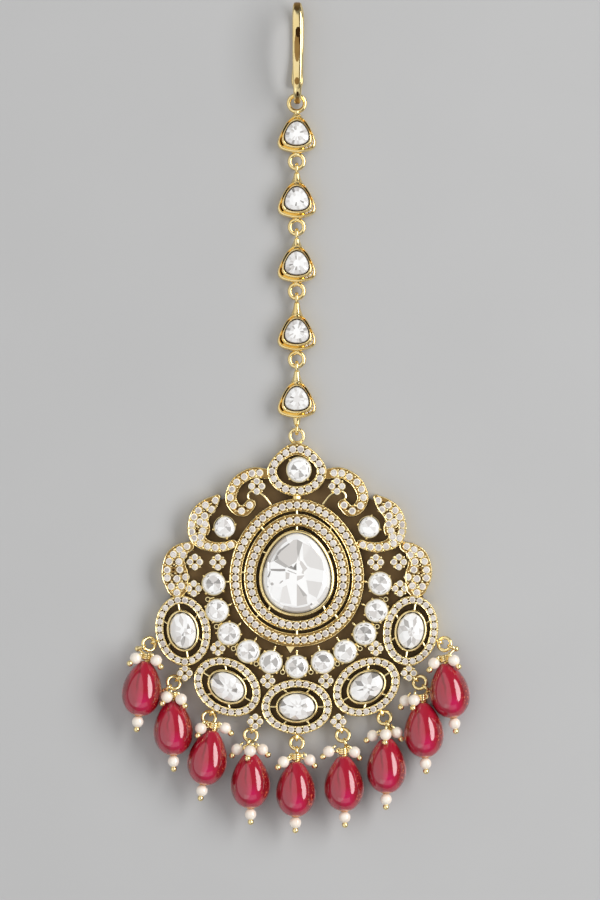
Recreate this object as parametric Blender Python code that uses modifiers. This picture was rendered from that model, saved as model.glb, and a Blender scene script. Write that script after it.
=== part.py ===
"""A maang tikka, the hair ornament that hangs over the parting, lying face up on its closed back.

A hook and a chain of five stone-set stations carry an openwork pendant with a fringe of nine red drops.
X runs across, Y runs up the ornament towards the hook, and Z rises from the back to the stones.
The origin is the middle of the closed back under the centre stone. Lengths are in metres.
"""

import math
from typing import NamedTuple

import bmesh
import bpy
from mathutils import Matrix, Vector

MM = 0.001
WELD = 0.002 * MM
THREAD_Z = 1.4 * MM          # height at which the rings and loops of the chain and fringe lie

# ---- pendant: heights ----
BACK_TOP = 0.35 * MM         # the closed back sheet, from which bands, cups and posts rise
BAND_FOOT = 0.1 * MM
CUP_FOOT = 0.15 * MM
BRIDGE_BOTTOM = 0.9 * MM
BRIDGE_TOP = 1.7 * MM
OUTER_RING_TOP = 2.8 * MM
INNER_RING_TOP = 3.1 * MM
SCROLL_TOP = 2.6 * MM
LEAF_TOP = 2.65 * MM
CRESCENT_TOP = 2.55 * MM
CROWN_TOP = 2.75 * MM
HALO_TOP = 2.7 * MM
CLUSTER_TOP = 2.5 * MM

# ---- pendant: egg-shaped outlines, as half width, top, bottom, narrowing of the top ----
RING_SIDES = 32
OUTER_RING = ((11.45, 12.6, -12.6, 0.07), (9.35, 10.45, -10.25, 0.09))
INNER_RING = ((8.98, 10.05, -9.8, 0.09), (6.83, 7.84, -8.04, 0.11))
CENTRE_BEZEL = (6.38, 7.35, -7.35, 0.12)
CENTRE_STONE = (5.72, 6.7, -6.7, 0.16)
CENTRE_BEZEL_TOP = 3.9 * MM
CENTRE_SEAT = 2.0 * MM
CENTRE_WALL = 0.5 * MM
CENTRE_STONE_HEIGHTS = (3.4 * MM, 5.3 * MM)         # girdle and table
# angles from the top at which the small bridges cross the two gaps round the centre
BEZEL_BRIDGES = (0, 62, 140, 220, 298)
RING_BRIDGES = (0, 90, 137, 180, 223, 270)

# ---- pendant: edge of the closed back, as x and y in millimetres down the right-hand side ----
BACK_EDGE = ((0.0, 21.3), (2.8, 20.0), (4.5, 17.6), (7.6, 17.2), (10.6, 15.6), (12.1, 12.7), (15.0, 12.0),
             (17.8, 9.6), (17.9, 5.4), (20.2, 4.4), (22.1, 2.0), (22.3, -0.8), (21.4, -3.8), (23.2, -7.4),
             (22.9, -11.6), (20.0, -15.2), (18.3, -16.3), (16.9, -19.2), (13.8, -22.5), (9.4, -23.7),
             (6.6, -24.6), (4.9, -25.2), (2.6, -26.6), (0.0, -27.0))

# ---- pendant: crown ----
CROWN_BASE = 13.0 * MM
CROWN_TIP = 22.15 * MM
CROWN_MIDDLE = 17.3 * MM
CROWN_HALF_WIDTH = 5.1 * MM
CROWN_BAND = 1.75 * MM
CROWN_STONE_AT = (0.35 * MM, 17.5 * MM)
CROWN_STONE_RADIUS = 2.1 * MM
TOP_RING_AT = (0.0, 23.2 * MM)
TOP_RING_RADIUS = 1.15 * MM
TOP_RING_WIRE = 0.3 * MM
TOP_RING_SEAT = (1.1 * MM, 0.7 * MM, 2.2 * MM)      # its width, bottom and top
CROWN_FOOT = (3.0 * MM, 0.3 * MM, 1.9 * MM)         # likewise, of the bar that ties the crown to the ring
CROWN_FOOT_LENGTH = 2.0 * MM

# ---- pendant: flowing bands, as x, y and half width in millimetres along the right-hand side ----
SCROLL = ((5.0, 16.8, 0.9), (7.6, 16.95, 0.95), (10.1, 15.4, 1.0), (11.2, 12.9, 1.0),
          (10.5, 11.1, 1.0), (9.0, 10.5, 1.0), (7.85, 11.6, 0.95))
LEAF = ((13.0, 12.6, 0.75), (14.9, 11.2, 1.35), (16.1, 10.1, 1.5), (16.9, 8.9, 1.6),
        (17.1, 7.6, 1.7), (16.9, 6.2, 1.4), (16.1, 5.1, 1.05), (14.9, 4.5, 0.9),
        (13.5, 4.3, 0.9), (12.0, 4.5, 0.85), (10.6, 5.0, 0.7))
CRESCENT = ((17.9, 4.6, 0.9), (19.4, 3.9, 1.3), (20.6, 2.6, 1.6), (20.9, 1.0, 1.85),
            (20.9, -0.5, 1.95), (20.3, -2.4, 1.8))
BAND_STEPS = 2

# ---- pendant: oval halos, as x, y and turn of the long axis in degrees ----
HALOS = ((-19.3, -9.8, -80), (-11.8, -19.3, -31), (0.0, -22.7, 0), (11.8, -19.3, 31), (19.3, -9.8, 80))
HALO_LONG = 6.03 * MM
HALO_SHORT = 4.7 * MM
HALO_BAND = 1.5 * MM
HALO_SIDES = 20
OVAL_BEZEL = (3.6 * MM, 2.75 * MM)
OVAL_STONE = (3.1 * MM, 2.25 * MM)
OVAL_WALL = 0.4 * MM
OVAL_BEZEL_TOP = 3.4 * MM
OVAL_SEAT = 1.8 * MM
OVAL_SIDES = 12
OVAL_STONE_HEIGHTS = (2.9 * MM, 4.1 * MM)           # girdle and table

# ---- pendant: round and pear stones, each in a thin-walled cup ----
ROUND_AT = ((-14.1, -1.8), (-13.5, -6.4), (-11.5, -10.3), (-8.23, -13.3), (-4.42, -15.1), (0.0, -15.9),
            (4.42, -15.1), (8.23, -13.3), (11.5, -10.3), (13.5, -6.4), (14.1, -1.8))
ROUND_STONE_RADIUS = 1.85 * MM
ROUND_STONE_HEIGHTS = (2.6 * MM, 3.7 * MM)          # girdle and table
CUP_TOP = 2.95 * MM
CUP_WALL = 0.18 * MM
CUP_CLEARANCE = 0.08 * MM
CUP_FLOOR = 1.2 * MM
CUP_SIDES = 9
SIDE_STONE_AT = (12.3 * MM, 7.8 * MM)
SIDE_STONE_HALF = (1.6 * MM, 1.8 * MM)

# ---- pendant: small four-stone clusters, as x, y and radius in millimetres, on both sides ----
CLUSTERS = ((6.8, 14.7, 1.25), (17.3, 1.85, 1.2), (13.4, 1.8, 1.2), (17.5, -2.65, 1.2),
            (13.4, -12.8, 0.98), (4.95, -18.3, 1.03), (19.0, -17.0, 1.0), (7.05, -25.2, 1.0))
CLUSTER_SIDES = 7

BRIDGE_WIDTH = 0.8 * MM

# ---- chain stations ----
STATION_Y = tuple(y * MM for y in (74.3, 63.2, 52.3, 40.7, 29.3))
# the right half of a station's edge, as x and y in millimetres from its soft point down to its foot
STATION_EDGE = ((0.0, 3.45), (0.85, 3.1), (1.75, 2.15), (2.55, 0.75), (3.1, -0.45), (3.3, -1.5),
                (2.85, -2.35), (1.6, -2.85), (0.0, -3.1))
# sections of its wall, as share of that edge and height
STATION_WALL = ((0.90, 0.0), (1.0, 0.7 * MM), (0.97, 1.7 * MM), (0.86, 2.5 * MM), (0.82, 2.5 * MM),
                (0.75, 2.9 * MM), (0.66, 2.9 * MM), (0.66, 1.7 * MM))
STATION_SEAT_Z = STATION_WALL[-1][1]
STATION_STONE = 0.61
STATION_STONE_HEIGHTS = (2.65 * MM, 3.5 * MM)       # girdle and table
RING_DROP = 4.5 * MM         # from a station's middle to the ring under it
CHAIN_RING_RADIUS = 1.225 * MM
CHAIN_RING_WIRE = 0.325 * MM
LOOP_RADIUS = 0.75 * MM
LOOP_WIRE = 0.3 * MM
HOOK_RING_Y = 79.7 * MM
HOOK_RING_RADIUS = 1.375 * MM
NECK_RADIUS = 0.45 * MM
NECK_REACH = 2.2 * MM        # from a station's middle to where its necks start, inside the wall

# ---- hook, as y, z and relative width in millimetres along its ribbon ----
HOOK_HALF_WIDTH = 0.85 * MM
HOOK_HALF_THICKNESS = 0.48 * MM
HOOK_ROUTE = ((80.1, 0.9, 0.6), (79.95, 2.1, 0.65), (80.8, 3.2, 0.75), (82.6, 4.4, 0.85), (85.4, 5.4, 0.95),
              (88.6, 5.8, 1.0), (92.2, 5.85, 1.0), (94.6, 5.5, 1.0), (96.0, 4.5, 1.0), (96.25, 3.2, 1.0),
              (95.8, 1.8, 1.0), (94.5, 0.8, 1.0), (92.2, 0.52, 1.0), (88.0, 0.52, 1.0), (84.8, 0.62, 1.15),
              (83.3, 0.8, 1.2), (82.3, 0.9, 0.8))

# ---- fringe: red drops and what hangs them ----
# x and y are in millimetres; a lean or bearing is in degrees from straight down, positive towards +X


class Pearl(NamedTuple):
    """One pearl of a cluster: its middle, and the way the gold ball at its foot lies, if it shows."""

    x: float
    y: float
    z: float
    ball_bearing: float | None = None


class Drop(NamedTuple):
    """A red drop: its middle, its lean, where its eye is soldered and points, and its cluster."""

    x: float
    y: float
    lean: float
    eye_x: float
    eye_y: float
    eye_bearing: float
    pearls: tuple


DROPS = (
    Drop(-26.19, -19.62, -7.7, -23.72, -11.55, -68.0,
         (Pearl(-27.28, -14.42, 4.65, -49), Pearl(-23.78, -14.77, 4.5, 35), Pearl(-25.54, -14.86, 1.05))),
    Drop(-20.93, -26.26, 0.6, -19.76, -17.65, -49.0,
         (Pearl(-21.99, -20.94, 4.95, -35), Pearl(-19.56, -21.3, 5.15, 29), Pearl(-20.98, -21.48, 1.05))),
    Drop(-15.08, -31.33, -10.2, -14.2, -23.3, -28.0,
         (Pearl(-16.24, -26.27, 4.65, -24), Pearl(-12.13, -26.27, 3.4, 48), Pearl(-14.23, -26.61, 1.05))),
    Drop(-7.87, -35.24, 0.5, -7.36, -26.15, -18.0,
         (Pearl(-10.14, -29.9, 3.4, -39), Pearl(-5.84, -29.9, 3.4, 46), Pearl(-7.9, -30.05, 5.4, -18))),
    Drop(-0.18, -36.67, -0.5, 0.0, -27.4, 0.0,
         (Pearl(-2.25, -31.95, 4.65, -47), Pearl(2.18, -31.67, 3.4, 41), Pearl(-0.14, -31.88, 1.05))),
    Drop(7.99, -35.74, 1.4, 7.36, -26.15, 18.0,
         (Pearl(5.4, -30.24, 3.4, -48), Pearl(9.78, -30.36, 3.4, 41), Pearl(7.89, -30.96, 1.05))),
    Drop(15.18, -32.7, -0.6, 14.2, -23.3, 28.0,
         (Pearl(12.87, -27.56, 3.4, -53), Pearl(16.95, -27.03, 3.4, 34), Pearl(15.03, -27.3, 5.15, -3))),
    Drop(21.5, -26.66, 3.3, 19.76, -17.65, 49.0,
         (Pearl(18.36, -21.64, 3.3, -33), Pearl(19.83, -21.49, 4.75, -7), Pearl(22.1, -21.46, 1.05))),
    Drop(25.84, -19.95, 9.2, 23.72, -11.55, 68.0,
         (Pearl(23.19, -15.28, 4.55, -34), Pearl(26.59, -14.77, 4.7, 36), Pearl(24.84, -15.34, 1.05))),
)
DROP_RADIUS = 3.37 * MM
DROP_LENGTH = 9.4 * MM
DROP_AXIS_Z = 3.42 * MM
DROP_WIDEST = 0.58           # of the length, from the top
DROP_NECK = 0.25             # of the radius, at the top
DROP_SWELL = 0.75            # the less it is, the fuller the shoulder
DROP_STATIONS = (0.0, 0.06, 0.16, 0.3, 0.45, DROP_WIDEST, 0.74, 0.87, 0.96)
DROP_BORE = 0.45 * MM
DROP_FOOT_RADIUS = 0.75 * MM
DROP_SIDES = 11
EYE_RADIUS = 0.62 * MM
EYE_WIRE = 0.22 * MM
EYE_STAND = 0.45 * MM        # from the soldered edge to the eye's middle
JUMP_RING_RADIUS = 1.125 * MM
JUMP_RING_WIRE = 0.28 * MM
JUMP_RING_PITCH = math.radians(20)
PIN_LOOP_RADIUS = 0.6 * MM
PIN_LOOP_WIRE = 0.2 * MM
PIN_WIRE = 0.24 * MM
GATHER_RISE = 0.75 * MM      # the point where the pins gather, above a drop's top and under its axis
GATHER_SINK = 0.25 * MM
PEARL_GAP = 0.05 * MM
PEARL_RADIUS = 1.03 * MM
PEARL_HALF_LENGTH = 0.88 * MM
BALL_RADIUS = 0.5 * MM
BALL_REACH = 1.15 * MM       # from a pearl's middle to its ball's
FRONT_BALL_RISE = 0.25 * MM

# ---- cut of every stone, as share of its outline ----
STONE_KEEL = 0.45
STONE_TABLE = 0.5
STONE_GIRDLE = 0.2 * MM      # thickness
STONE_SEAT_GAP = 0.1 * MM

# ---- finishes, as name, colour, roughness and metallic ----
GOLD = ("gold", (0.83, 0.60, 0.26, 1.0), 0.22, 1.0)
CLEAR = ("clear_stone", (0.90, 0.89, 0.87, 1.0), 0.08, 0.0)
RUBY = ("ruby_red", (0.52, 0.02, 0.08, 1.0), 0.12, 0.0)


# ---------------------------------------------------------------- scene and materials

def clear_scene():
    for item in list(bpy.data.objects):
        bpy.data.objects.remove(item, do_unlink=True)


def collection(name):
    group = bpy.data.collections.new(name)
    bpy.context.scene.collection.children.link(group)
    return group


def material(kind):
    name, colour, roughness, metallic = kind
    made = bpy.data.materials.get(name) or bpy.data.materials.new(name)
    made.use_nodes = True
    shader = made.node_tree.nodes["Principled BSDF"]
    shader.inputs["Base Color"].default_value = colour
    shader.inputs["Roughness"].default_value = roughness
    shader.inputs["Metallic"].default_value = metallic
    return made


def finish(item, group, kind):
    """Put a made object in its collection with its material, shaded smooth but for its edges."""
    for other in list(item.users_collection):
        other.objects.unlink(item)
    group.objects.link(item)
    item.data.materials.clear()
    item.data.materials.append(material(kind))
    item.data.shade_smooth()
    item.data.set_sharp_from_angle(angle=math.radians(35))
    return item


def hide_tool(item, group):
    """A body used only inside a Boolean: shown as wire and left out of renders."""
    for other in list(item.users_collection):
        other.objects.unlink(item)
    group.objects.link(item)
    item.hide_render = True
    item.display_type = "WIRE"
    return item


# ---------------------------------------------------------------- outlines

def egg(half_width, top, bottom, narrowing, inset=0.0, sides=RING_SIDES):
    """Points of an oval that narrows towards its top, in metres from sizes in millimetres."""
    turns = [2 * math.pi * i / sides for i in range(sides)]
    across = [math.sin(t) * (1 - narrowing * math.cos(t)) for t in turns]
    widest = max(across)
    middle = (top + bottom) / 2 * MM
    half_height = (top - bottom) / 2 * MM - inset
    wide = half_width * MM - inset
    return [(wide * a / widest, middle + half_height * math.cos(t)) for a, t in zip(across, turns)][::-1]


def oval(x, y, long_half, short_half, turn=0.0, sides=HALO_SIDES):
    """Points of an ellipse whose long axis is turned by an angle in degrees."""
    spin = Matrix.Rotation(math.radians(turn), 2)
    points = []
    for i in range(sides):
        angle = 2 * math.pi * i / sides
        at = spin @ Vector((long_half * math.cos(angle), short_half * math.sin(angle)))
        points.append((x + at.x, y + at.y))
    return points


def teardrop(inset=0.0, sides=36):
    """Outline of the crown: round below, drawn to a soft point above."""
    points = []
    for i in range(sides):
        angle = 2 * math.pi * i / sides
        across = math.cos(angle)
        rise = math.sin(angle)
        if rise > 0:
            across *= 1 - 0.34 * rise ** 1.5
            y = CROWN_MIDDLE + (CROWN_TIP - inset * 1.25 - CROWN_MIDDLE) * rise
        else:
            y = CROWN_MIDDLE + (CROWN_MIDDLE - CROWN_BASE - inset) * rise
        points.append(((CROWN_HALF_WIDTH - inset) * across, y))
    return points


def smooth_route(route, steps):
    """A smooth curve through the route's points, as a Catmull-Rom spline, with steps points a span."""
    knots = [Vector(point) for point in route]
    knots = [2 * knots[0] - knots[1]] + knots + [2 * knots[-1] - knots[-2]]
    points = []
    for a, b, c, d in zip(knots, knots[1:], knots[2:], knots[3:]):
        for step in range(steps):
            t = step / steps
            points.append(0.5 * (2 * b + (c - a) * t + (2 * a - 5 * b + 4 * c - d) * t * t
                                 + (3 * b - a - 3 * c + d) * t ** 3))
    return points + [knots[-2]]


def band_outline(route, steps=BAND_STEPS, cap_sides=4):
    """Outline of a band that follows a route of x, y and half width in millimetres, with round ends."""
    line = [point * MM for point in smooth_route(route, steps)]
    left, right = [], []
    ways = []
    for before, after in zip([line[0]] + line[:-1], line[1:] + [line[-1]]):
        ways.append((after - before).xy.normalized())
    for point, way in zip(line, ways):
        side = Vector((-way.y, way.x)) * point.z
        left.append(point.xy + side)
        right.append(point.xy - side)
    caps = []
    for point, way, sign in ((line[-1], ways[-1], 1), (line[0], ways[0], -1)):
        side = Vector((-way.y, way.x)) * sign
        for i in range(1, cap_sides):
            angle = math.pi * i / cap_sides
            caps.append(point.xy + point.z * (side * math.cos(angle) + way * sign * math.sin(angle)))
    half = cap_sides - 1
    outline = left + caps[:half] + right[::-1] + caps[half:]
    return [(point.x, point.y) for point in outline]


def mirrored(points):
    return [(-x, y) for x, y in points][::-1]


def whole(half):
    """A closed counterclockwise outline from its right half, given top to bottom on the middle line."""
    left = [(-x, y) for x, y in half[1:-1]]
    return [(x * MM, y * MM) for x, y in [half[0], *left, *half[:0:-1]]]


def station_edge(scale):
    return [(x * scale, y * scale) for x, y in whole(STATION_EDGE)]


def moved(points, x, y):
    return [(px + x, py + y) for px, py in points]


# ---------------------------------------------------------------- bodies

def settle(curve_object):
    """Turn a finished curve object into a welded mesh object in the same place."""
    graph = bpy.context.evaluated_depsgraph_get()
    mesh = bpy.data.meshes.new_from_object(curve_object.evaluated_get(graph))
    solid = bmesh.new()
    solid.from_mesh(mesh)
    bmesh.ops.remove_doubles(solid, verts=solid.verts, dist=WELD)
    bmesh.ops.recalc_face_normals(solid, faces=solid.faces)
    solid.to_mesh(mesh)
    solid.free()
    made = bpy.data.objects.new(curve_object.name + "_body", mesh)
    made.matrix_world = curve_object.matrix_world
    bpy.context.scene.collection.objects.link(made)
    bpy.data.objects.remove(curve_object, do_unlink=True)
    return made


def plate(name, outlines, bottom, top):
    """A flat body between two heights, filled inside the first outline and open inside the others."""
    curve = bpy.data.curves.new(name, "CURVE")
    curve.dimensions = "2D"
    curve.fill_mode = "BOTH"
    curve.extrude = (top - bottom) / 2
    for outline in outlines:
        spline = curve.splines.new("POLY")
        spline.points.add(len(outline) - 1)
        for point, (x, y) in zip(spline.points, outline):
            point.co = (x, y, 0, 1)
        spline.use_cyclic_u = True
    item = bpy.data.objects.new(name, curve)
    item.location.z = (top + bottom) / 2
    bpy.context.scene.collection.objects.link(item)
    bpy.context.view_layer.update()
    return settle(item)


def lofted(name, sections):
    """A closed body through sections, each a ring of equally many points and its height."""
    solid = bmesh.new()
    rings = [[solid.verts.new((x, y, z)) for x, y in ring] for ring, z in sections]
    solid.faces.new(rings[0][::-1])
    solid.faces.new(rings[-1])
    for lower, upper in zip(rings, rings[1:]):
        for i, corner in enumerate(lower):
            solid.faces.new((lower[i - 1], corner, upper[i], upper[i - 1]))
    bmesh.ops.recalc_face_normals(solid, faces=solid.faces)
    mesh = bpy.data.meshes.new(name)
    solid.to_mesh(mesh)
    solid.free()
    item = bpy.data.objects.new(name, mesh)
    bpy.context.scene.collection.objects.link(item)
    return item


def ring_of_wire(name, centre, radius, wire, turn=(0.0, 0.0, 0.0), sides=10):
    bpy.ops.mesh.primitive_torus_add(location=centre, rotation=turn, major_radius=radius, minor_radius=wire,
                                     major_segments=sides, minor_segments=4)
    item = bpy.context.object
    item.name = name
    return item


def pearl_body(name, centre, turn=(0.0, 0.0, 0.0)):
    bpy.ops.mesh.primitive_uv_sphere_add(segments=6, ring_count=5, radius=PEARL_RADIUS, location=centre,
                                         rotation=turn)
    item = bpy.context.object
    item.name = name
    return item


def ball_body(name, centre):
    bpy.ops.mesh.primitive_ico_sphere_add(subdivisions=1, radius=BALL_RADIUS, location=centre)
    item = bpy.context.object
    item.name = name
    return item


def wire(name, points, radius, resolution=0):
    """A round wire through the points, closed at both ends."""
    curve = bpy.data.curves.new(name, "CURVE")
    curve.dimensions = "3D"
    curve.bevel_depth = radius
    curve.bevel_resolution = resolution
    curve.use_fill_caps = True
    spline = curve.splines.new("POLY")
    spline.points.add(len(points) - 1)
    for point, at in zip(spline.points, points):
        point.co = (*at, 1)
    item = bpy.data.objects.new(name, curve)
    bpy.context.scene.collection.objects.link(item)
    bpy.context.view_layer.update()
    return settle(item)


def bar(name, start, end, width, bottom, top):
    """A straight low bar between two points of the plan."""
    run = Vector(end) - Vector(start)
    middle = (Vector(start) + Vector(end)) / 2
    bpy.ops.mesh.primitive_cube_add(size=1, location=(*middle, (bottom + top) / 2),
                                    rotation=(0, 0, math.atan2(run.y, run.x)))
    item = bpy.context.object
    item.name = name
    item.scale = (run.length, width, top - bottom)
    return item


def post(name, x, y, radius, bottom, top, sides):
    bpy.ops.mesh.primitive_cylinder_add(vertices=sides, radius=radius, depth=top - bottom,
                                        location=(x, y, (bottom + top) / 2))
    item = bpy.context.object
    item.name = name
    return item


def joined(name, bodies, group, kind):
    """One body from several that meet: the rest are joined to the first by an exact union."""
    tools = collection(name + "_pieces")
    for body in bodies[1:]:
        hide_tool(body, tools)
    first = bodies[0]
    first.name = name
    first.data.name = name
    union = first.modifiers.new("joined", "BOOLEAN")
    union.operation = "UNION"
    union.operand_type = "COLLECTION"
    union.collection = tools
    union.solver = "EXACT"
    return finish(first, group, kind)


# ---------------------------------------------------------------- pendant

def cup(name, outline, inner, floor, top):
    """A closed-back setting: a wall between two outlines round a recess that ends at the floor."""
    return lofted(name, ((outline, CUP_FOOT), (outline, top), (inner, top), (inner, floor)))


def back_body():
    """The closed sheet under all the openwork, a little inside the bands' outer edges."""
    edge = [tuple(point) for point in smooth_route(BACK_EDGE, BAND_STEPS)]
    return plate("back", [whole(edge)], 0.0, BACK_TOP)


def ring_bodies():
    bodies = []
    for name, edges, top in (("outer_ring", OUTER_RING, OUTER_RING_TOP),
                             ("inner_ring", INNER_RING, INNER_RING_TOP)):
        bodies.append(plate(name, [egg(*edge) for edge in edges], BAND_FOOT, top))
    bezel = cup("centre_bezel", egg(*CENTRE_BEZEL), egg(*CENTRE_BEZEL, inset=CENTRE_WALL), CENTRE_SEAT,
                CENTRE_BEZEL_TOP)
    bodies.append(bezel)
    return bodies


def radial_bridges():
    """Small bars across the gaps between the bezel, the inner ring and the outer ring."""
    gaps = ((BEZEL_BRIDGES, CENTRE_BEZEL, INNER_RING[1]), (RING_BRIDGES, INNER_RING[0], OUTER_RING[1]))
    bodies = []
    for angles, inside, outside in gaps:
        for angle in angles:
            turn = math.radians(angle)
            way = Vector((math.sin(turn), math.cos(turn)))
            ends = []
            for edge, step in ((inside, -0.25 * MM), (outside, 0.25 * MM)):
                half_width, top, bottom, _ = edge
                height = top if way.y > 0 else -bottom
                reach = 1 / math.hypot(way.x / half_width, way.y / height) * MM
                ends.append(way * (reach + step))
            bodies.append(bar("bridge", *ends, BRIDGE_WIDTH, BRIDGE_BOTTOM, BRIDGE_TOP))
    return bodies


def crown_bodies():
    ring = plate("crown", [teardrop(), teardrop(CROWN_BAND)[::-1]], BAND_FOOT, CROWN_TOP)
    foot_start = CROWN_BASE + CROWN_BAND / 2
    foot = bar("crown_foot", (0, foot_start), (0, foot_start - CROWN_FOOT_LENGTH), *CROWN_FOOT)
    x, y = TOP_RING_AT
    seat = bar("top_ring_seat", (x, CROWN_TIP - CROWN_BAND / 2), (x, y - TOP_RING_RADIUS), *TOP_RING_SEAT)
    top_ring = ring_of_wire("top_ring", (x, y, THREAD_Z), TOP_RING_RADIUS, TOP_RING_WIRE)
    return [ring, foot, seat, top_ring]


def band_bodies():
    bodies = []
    for name, route, top in (("scroll", SCROLL, SCROLL_TOP), ("leaf", LEAF, LEAF_TOP),
                             ("crescent", CRESCENT, CRESCENT_TOP)):
        outline = band_outline(route)
        bodies.append(plate(name, [outline], BAND_FOOT, top))
        bodies.append(plate(name, [mirrored(outline)], BAND_FOOT, top))
    return bodies


def halo_bodies():
    """Each halo: a paved oval band round the bezel and cup of its stone."""
    bodies = []
    for x_mm, y_mm, turn in HALOS:
        x = x_mm * MM
        y = y_mm * MM
        outer = oval(x, y, HALO_LONG, HALO_SHORT, turn)
        inner = oval(x, y, HALO_LONG - HALO_BAND, HALO_SHORT - HALO_BAND, turn)
        bodies.append(plate("halo", [outer, inner[::-1]], BAND_FOOT, HALO_TOP))
        long_half, short_half = OVAL_BEZEL
        wall = oval(x, y, long_half, short_half, turn, OVAL_SIDES)
        hollow = oval(x, y, long_half - OVAL_WALL, short_half - OVAL_WALL, turn, OVAL_SIDES)
        bodies.append(cup("oval_cup", wall, hollow, OVAL_SEAT, OVAL_BEZEL_TOP))
    return bodies


def small_cup_bodies():
    """The thin-walled closed cups of the round and pear stones."""
    seats = [(x * MM, y * MM, ROUND_STONE_RADIUS, ROUND_STONE_RADIUS) for x, y in ROUND_AT]
    seats.append((*CROWN_STONE_AT, CROWN_STONE_RADIUS, CROWN_STONE_RADIUS))
    side_x, side_y = SIDE_STONE_AT
    for sign in (-1, 1):
        seats.append((sign * side_x, side_y, *SIDE_STONE_HALF))
    bodies = []
    for x, y, wide, high in seats:
        inner = CUP_CLEARANCE
        outer = CUP_CLEARANCE + CUP_WALL
        outline = oval(x, y, wide + outer, high + outer, sides=CUP_SIDES)
        hollow = oval(x, y, wide + inner, high + inner, sides=CUP_SIDES)
        bodies.append(cup("small_cup", outline, hollow, CUP_FLOOR, CUP_TOP))
    return bodies


def cluster_bodies():
    """The posts of the four-stone clusters."""
    bodies = []
    for sign in (-1, 1):
        for x, y, radius in CLUSTERS:
            bodies.append(post("cluster", sign * x * MM, y * MM, radius * MM, CUP_FOOT, CLUSTER_TOP,
                               CLUSTER_SIDES))
    return bodies


def heading(angle):
    """The direction in plan that leans by an angle in degrees from straight down the ornament."""
    turn = math.radians(angle)
    return Vector((math.sin(turn), -math.cos(turn)))


def eye_bodies():
    """The upright loops soldered to the pendant's edge, one for each jump ring."""
    bodies = []
    for drop in DROPS:
        way = heading(drop.eye_bearing)
        middle = Vector((drop.eye_x, drop.eye_y)) * MM + way * EYE_STAND
        bodies.append(ring_of_wire("eye", (*middle, THREAD_Z), EYE_RADIUS, EYE_WIRE,
                                   (math.pi / 2, 0.0, math.atan2(way.y, way.x)), sides=8))
    return bodies


def build_pendant(group):
    bodies = [back_body()] + ring_bodies() + radial_bridges() + crown_bodies() + band_bodies()
    bodies += halo_bodies() + cluster_bodies() + small_cup_bodies() + eye_bodies()
    return joined("pendant_frame", bodies, group, GOLD)


# ---------------------------------------------------------------- stones

def cut_stone(name, outline_at, seat, girdle, table, group):
    """A stone from its outline: narrow under the girdle, a thin girdle, facets up to a flat table.

    outline_at gives the outline at a share of its full size.
    """
    rim = girdle + STONE_GIRDLE
    sections = ((outline_at(STONE_KEEL), seat + STONE_SEAT_GAP), (outline_at(1.0), girdle),
                (outline_at(1.0), rim), (outline_at(STONE_TABLE), table))
    return finish(lofted(name, sections), group, CLEAR)


def build_round_stone(name, x, y, wide, high, group, sides=CUP_SIDES):
    def outline_at(share):
        return oval(x, y, wide * share, high * share, sides=sides)
    return cut_stone(name, outline_at, CUP_FLOOR, *ROUND_STONE_HEIGHTS, group)


def build_stones(group):
    def centre_outline(share):
        half_width, top, bottom, narrowing = CENTRE_STONE
        return egg(half_width * share, top * share, bottom * share, narrowing, sides=RING_SIDES // 2)
    cut_stone("centre_stone", centre_outline, CENTRE_SEAT, *CENTRE_STONE_HEIGHTS, group)
    build_round_stone("crown_stone", *CROWN_STONE_AT, CROWN_STONE_RADIUS, CROWN_STONE_RADIUS, group)
    side_x, side_y = SIDE_STONE_AT
    build_round_stone("side_stone_left", -side_x, side_y, *SIDE_STONE_HALF, group)
    build_round_stone("side_stone_right", side_x, side_y, *SIDE_STONE_HALF, group)
    for number, (x, y) in enumerate(ROUND_AT, start=1):
        build_round_stone(f"round_stone_{number:02d}", x * MM, y * MM, ROUND_STONE_RADIUS,
                          ROUND_STONE_RADIUS, group)
    for number, (x, y, turn) in enumerate(HALOS, start=1):
        def oval_outline(share, x=x, y=y, turn=turn):
            return oval(x * MM, y * MM, OVAL_STONE[0] * share, OVAL_STONE[1] * share, turn, OVAL_SIDES)
        cut_stone(f"oval_stone_{number}", oval_outline, OVAL_SEAT, *OVAL_STONE_HEIGHTS, group)


# ---------------------------------------------------------------- chain and hook

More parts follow.
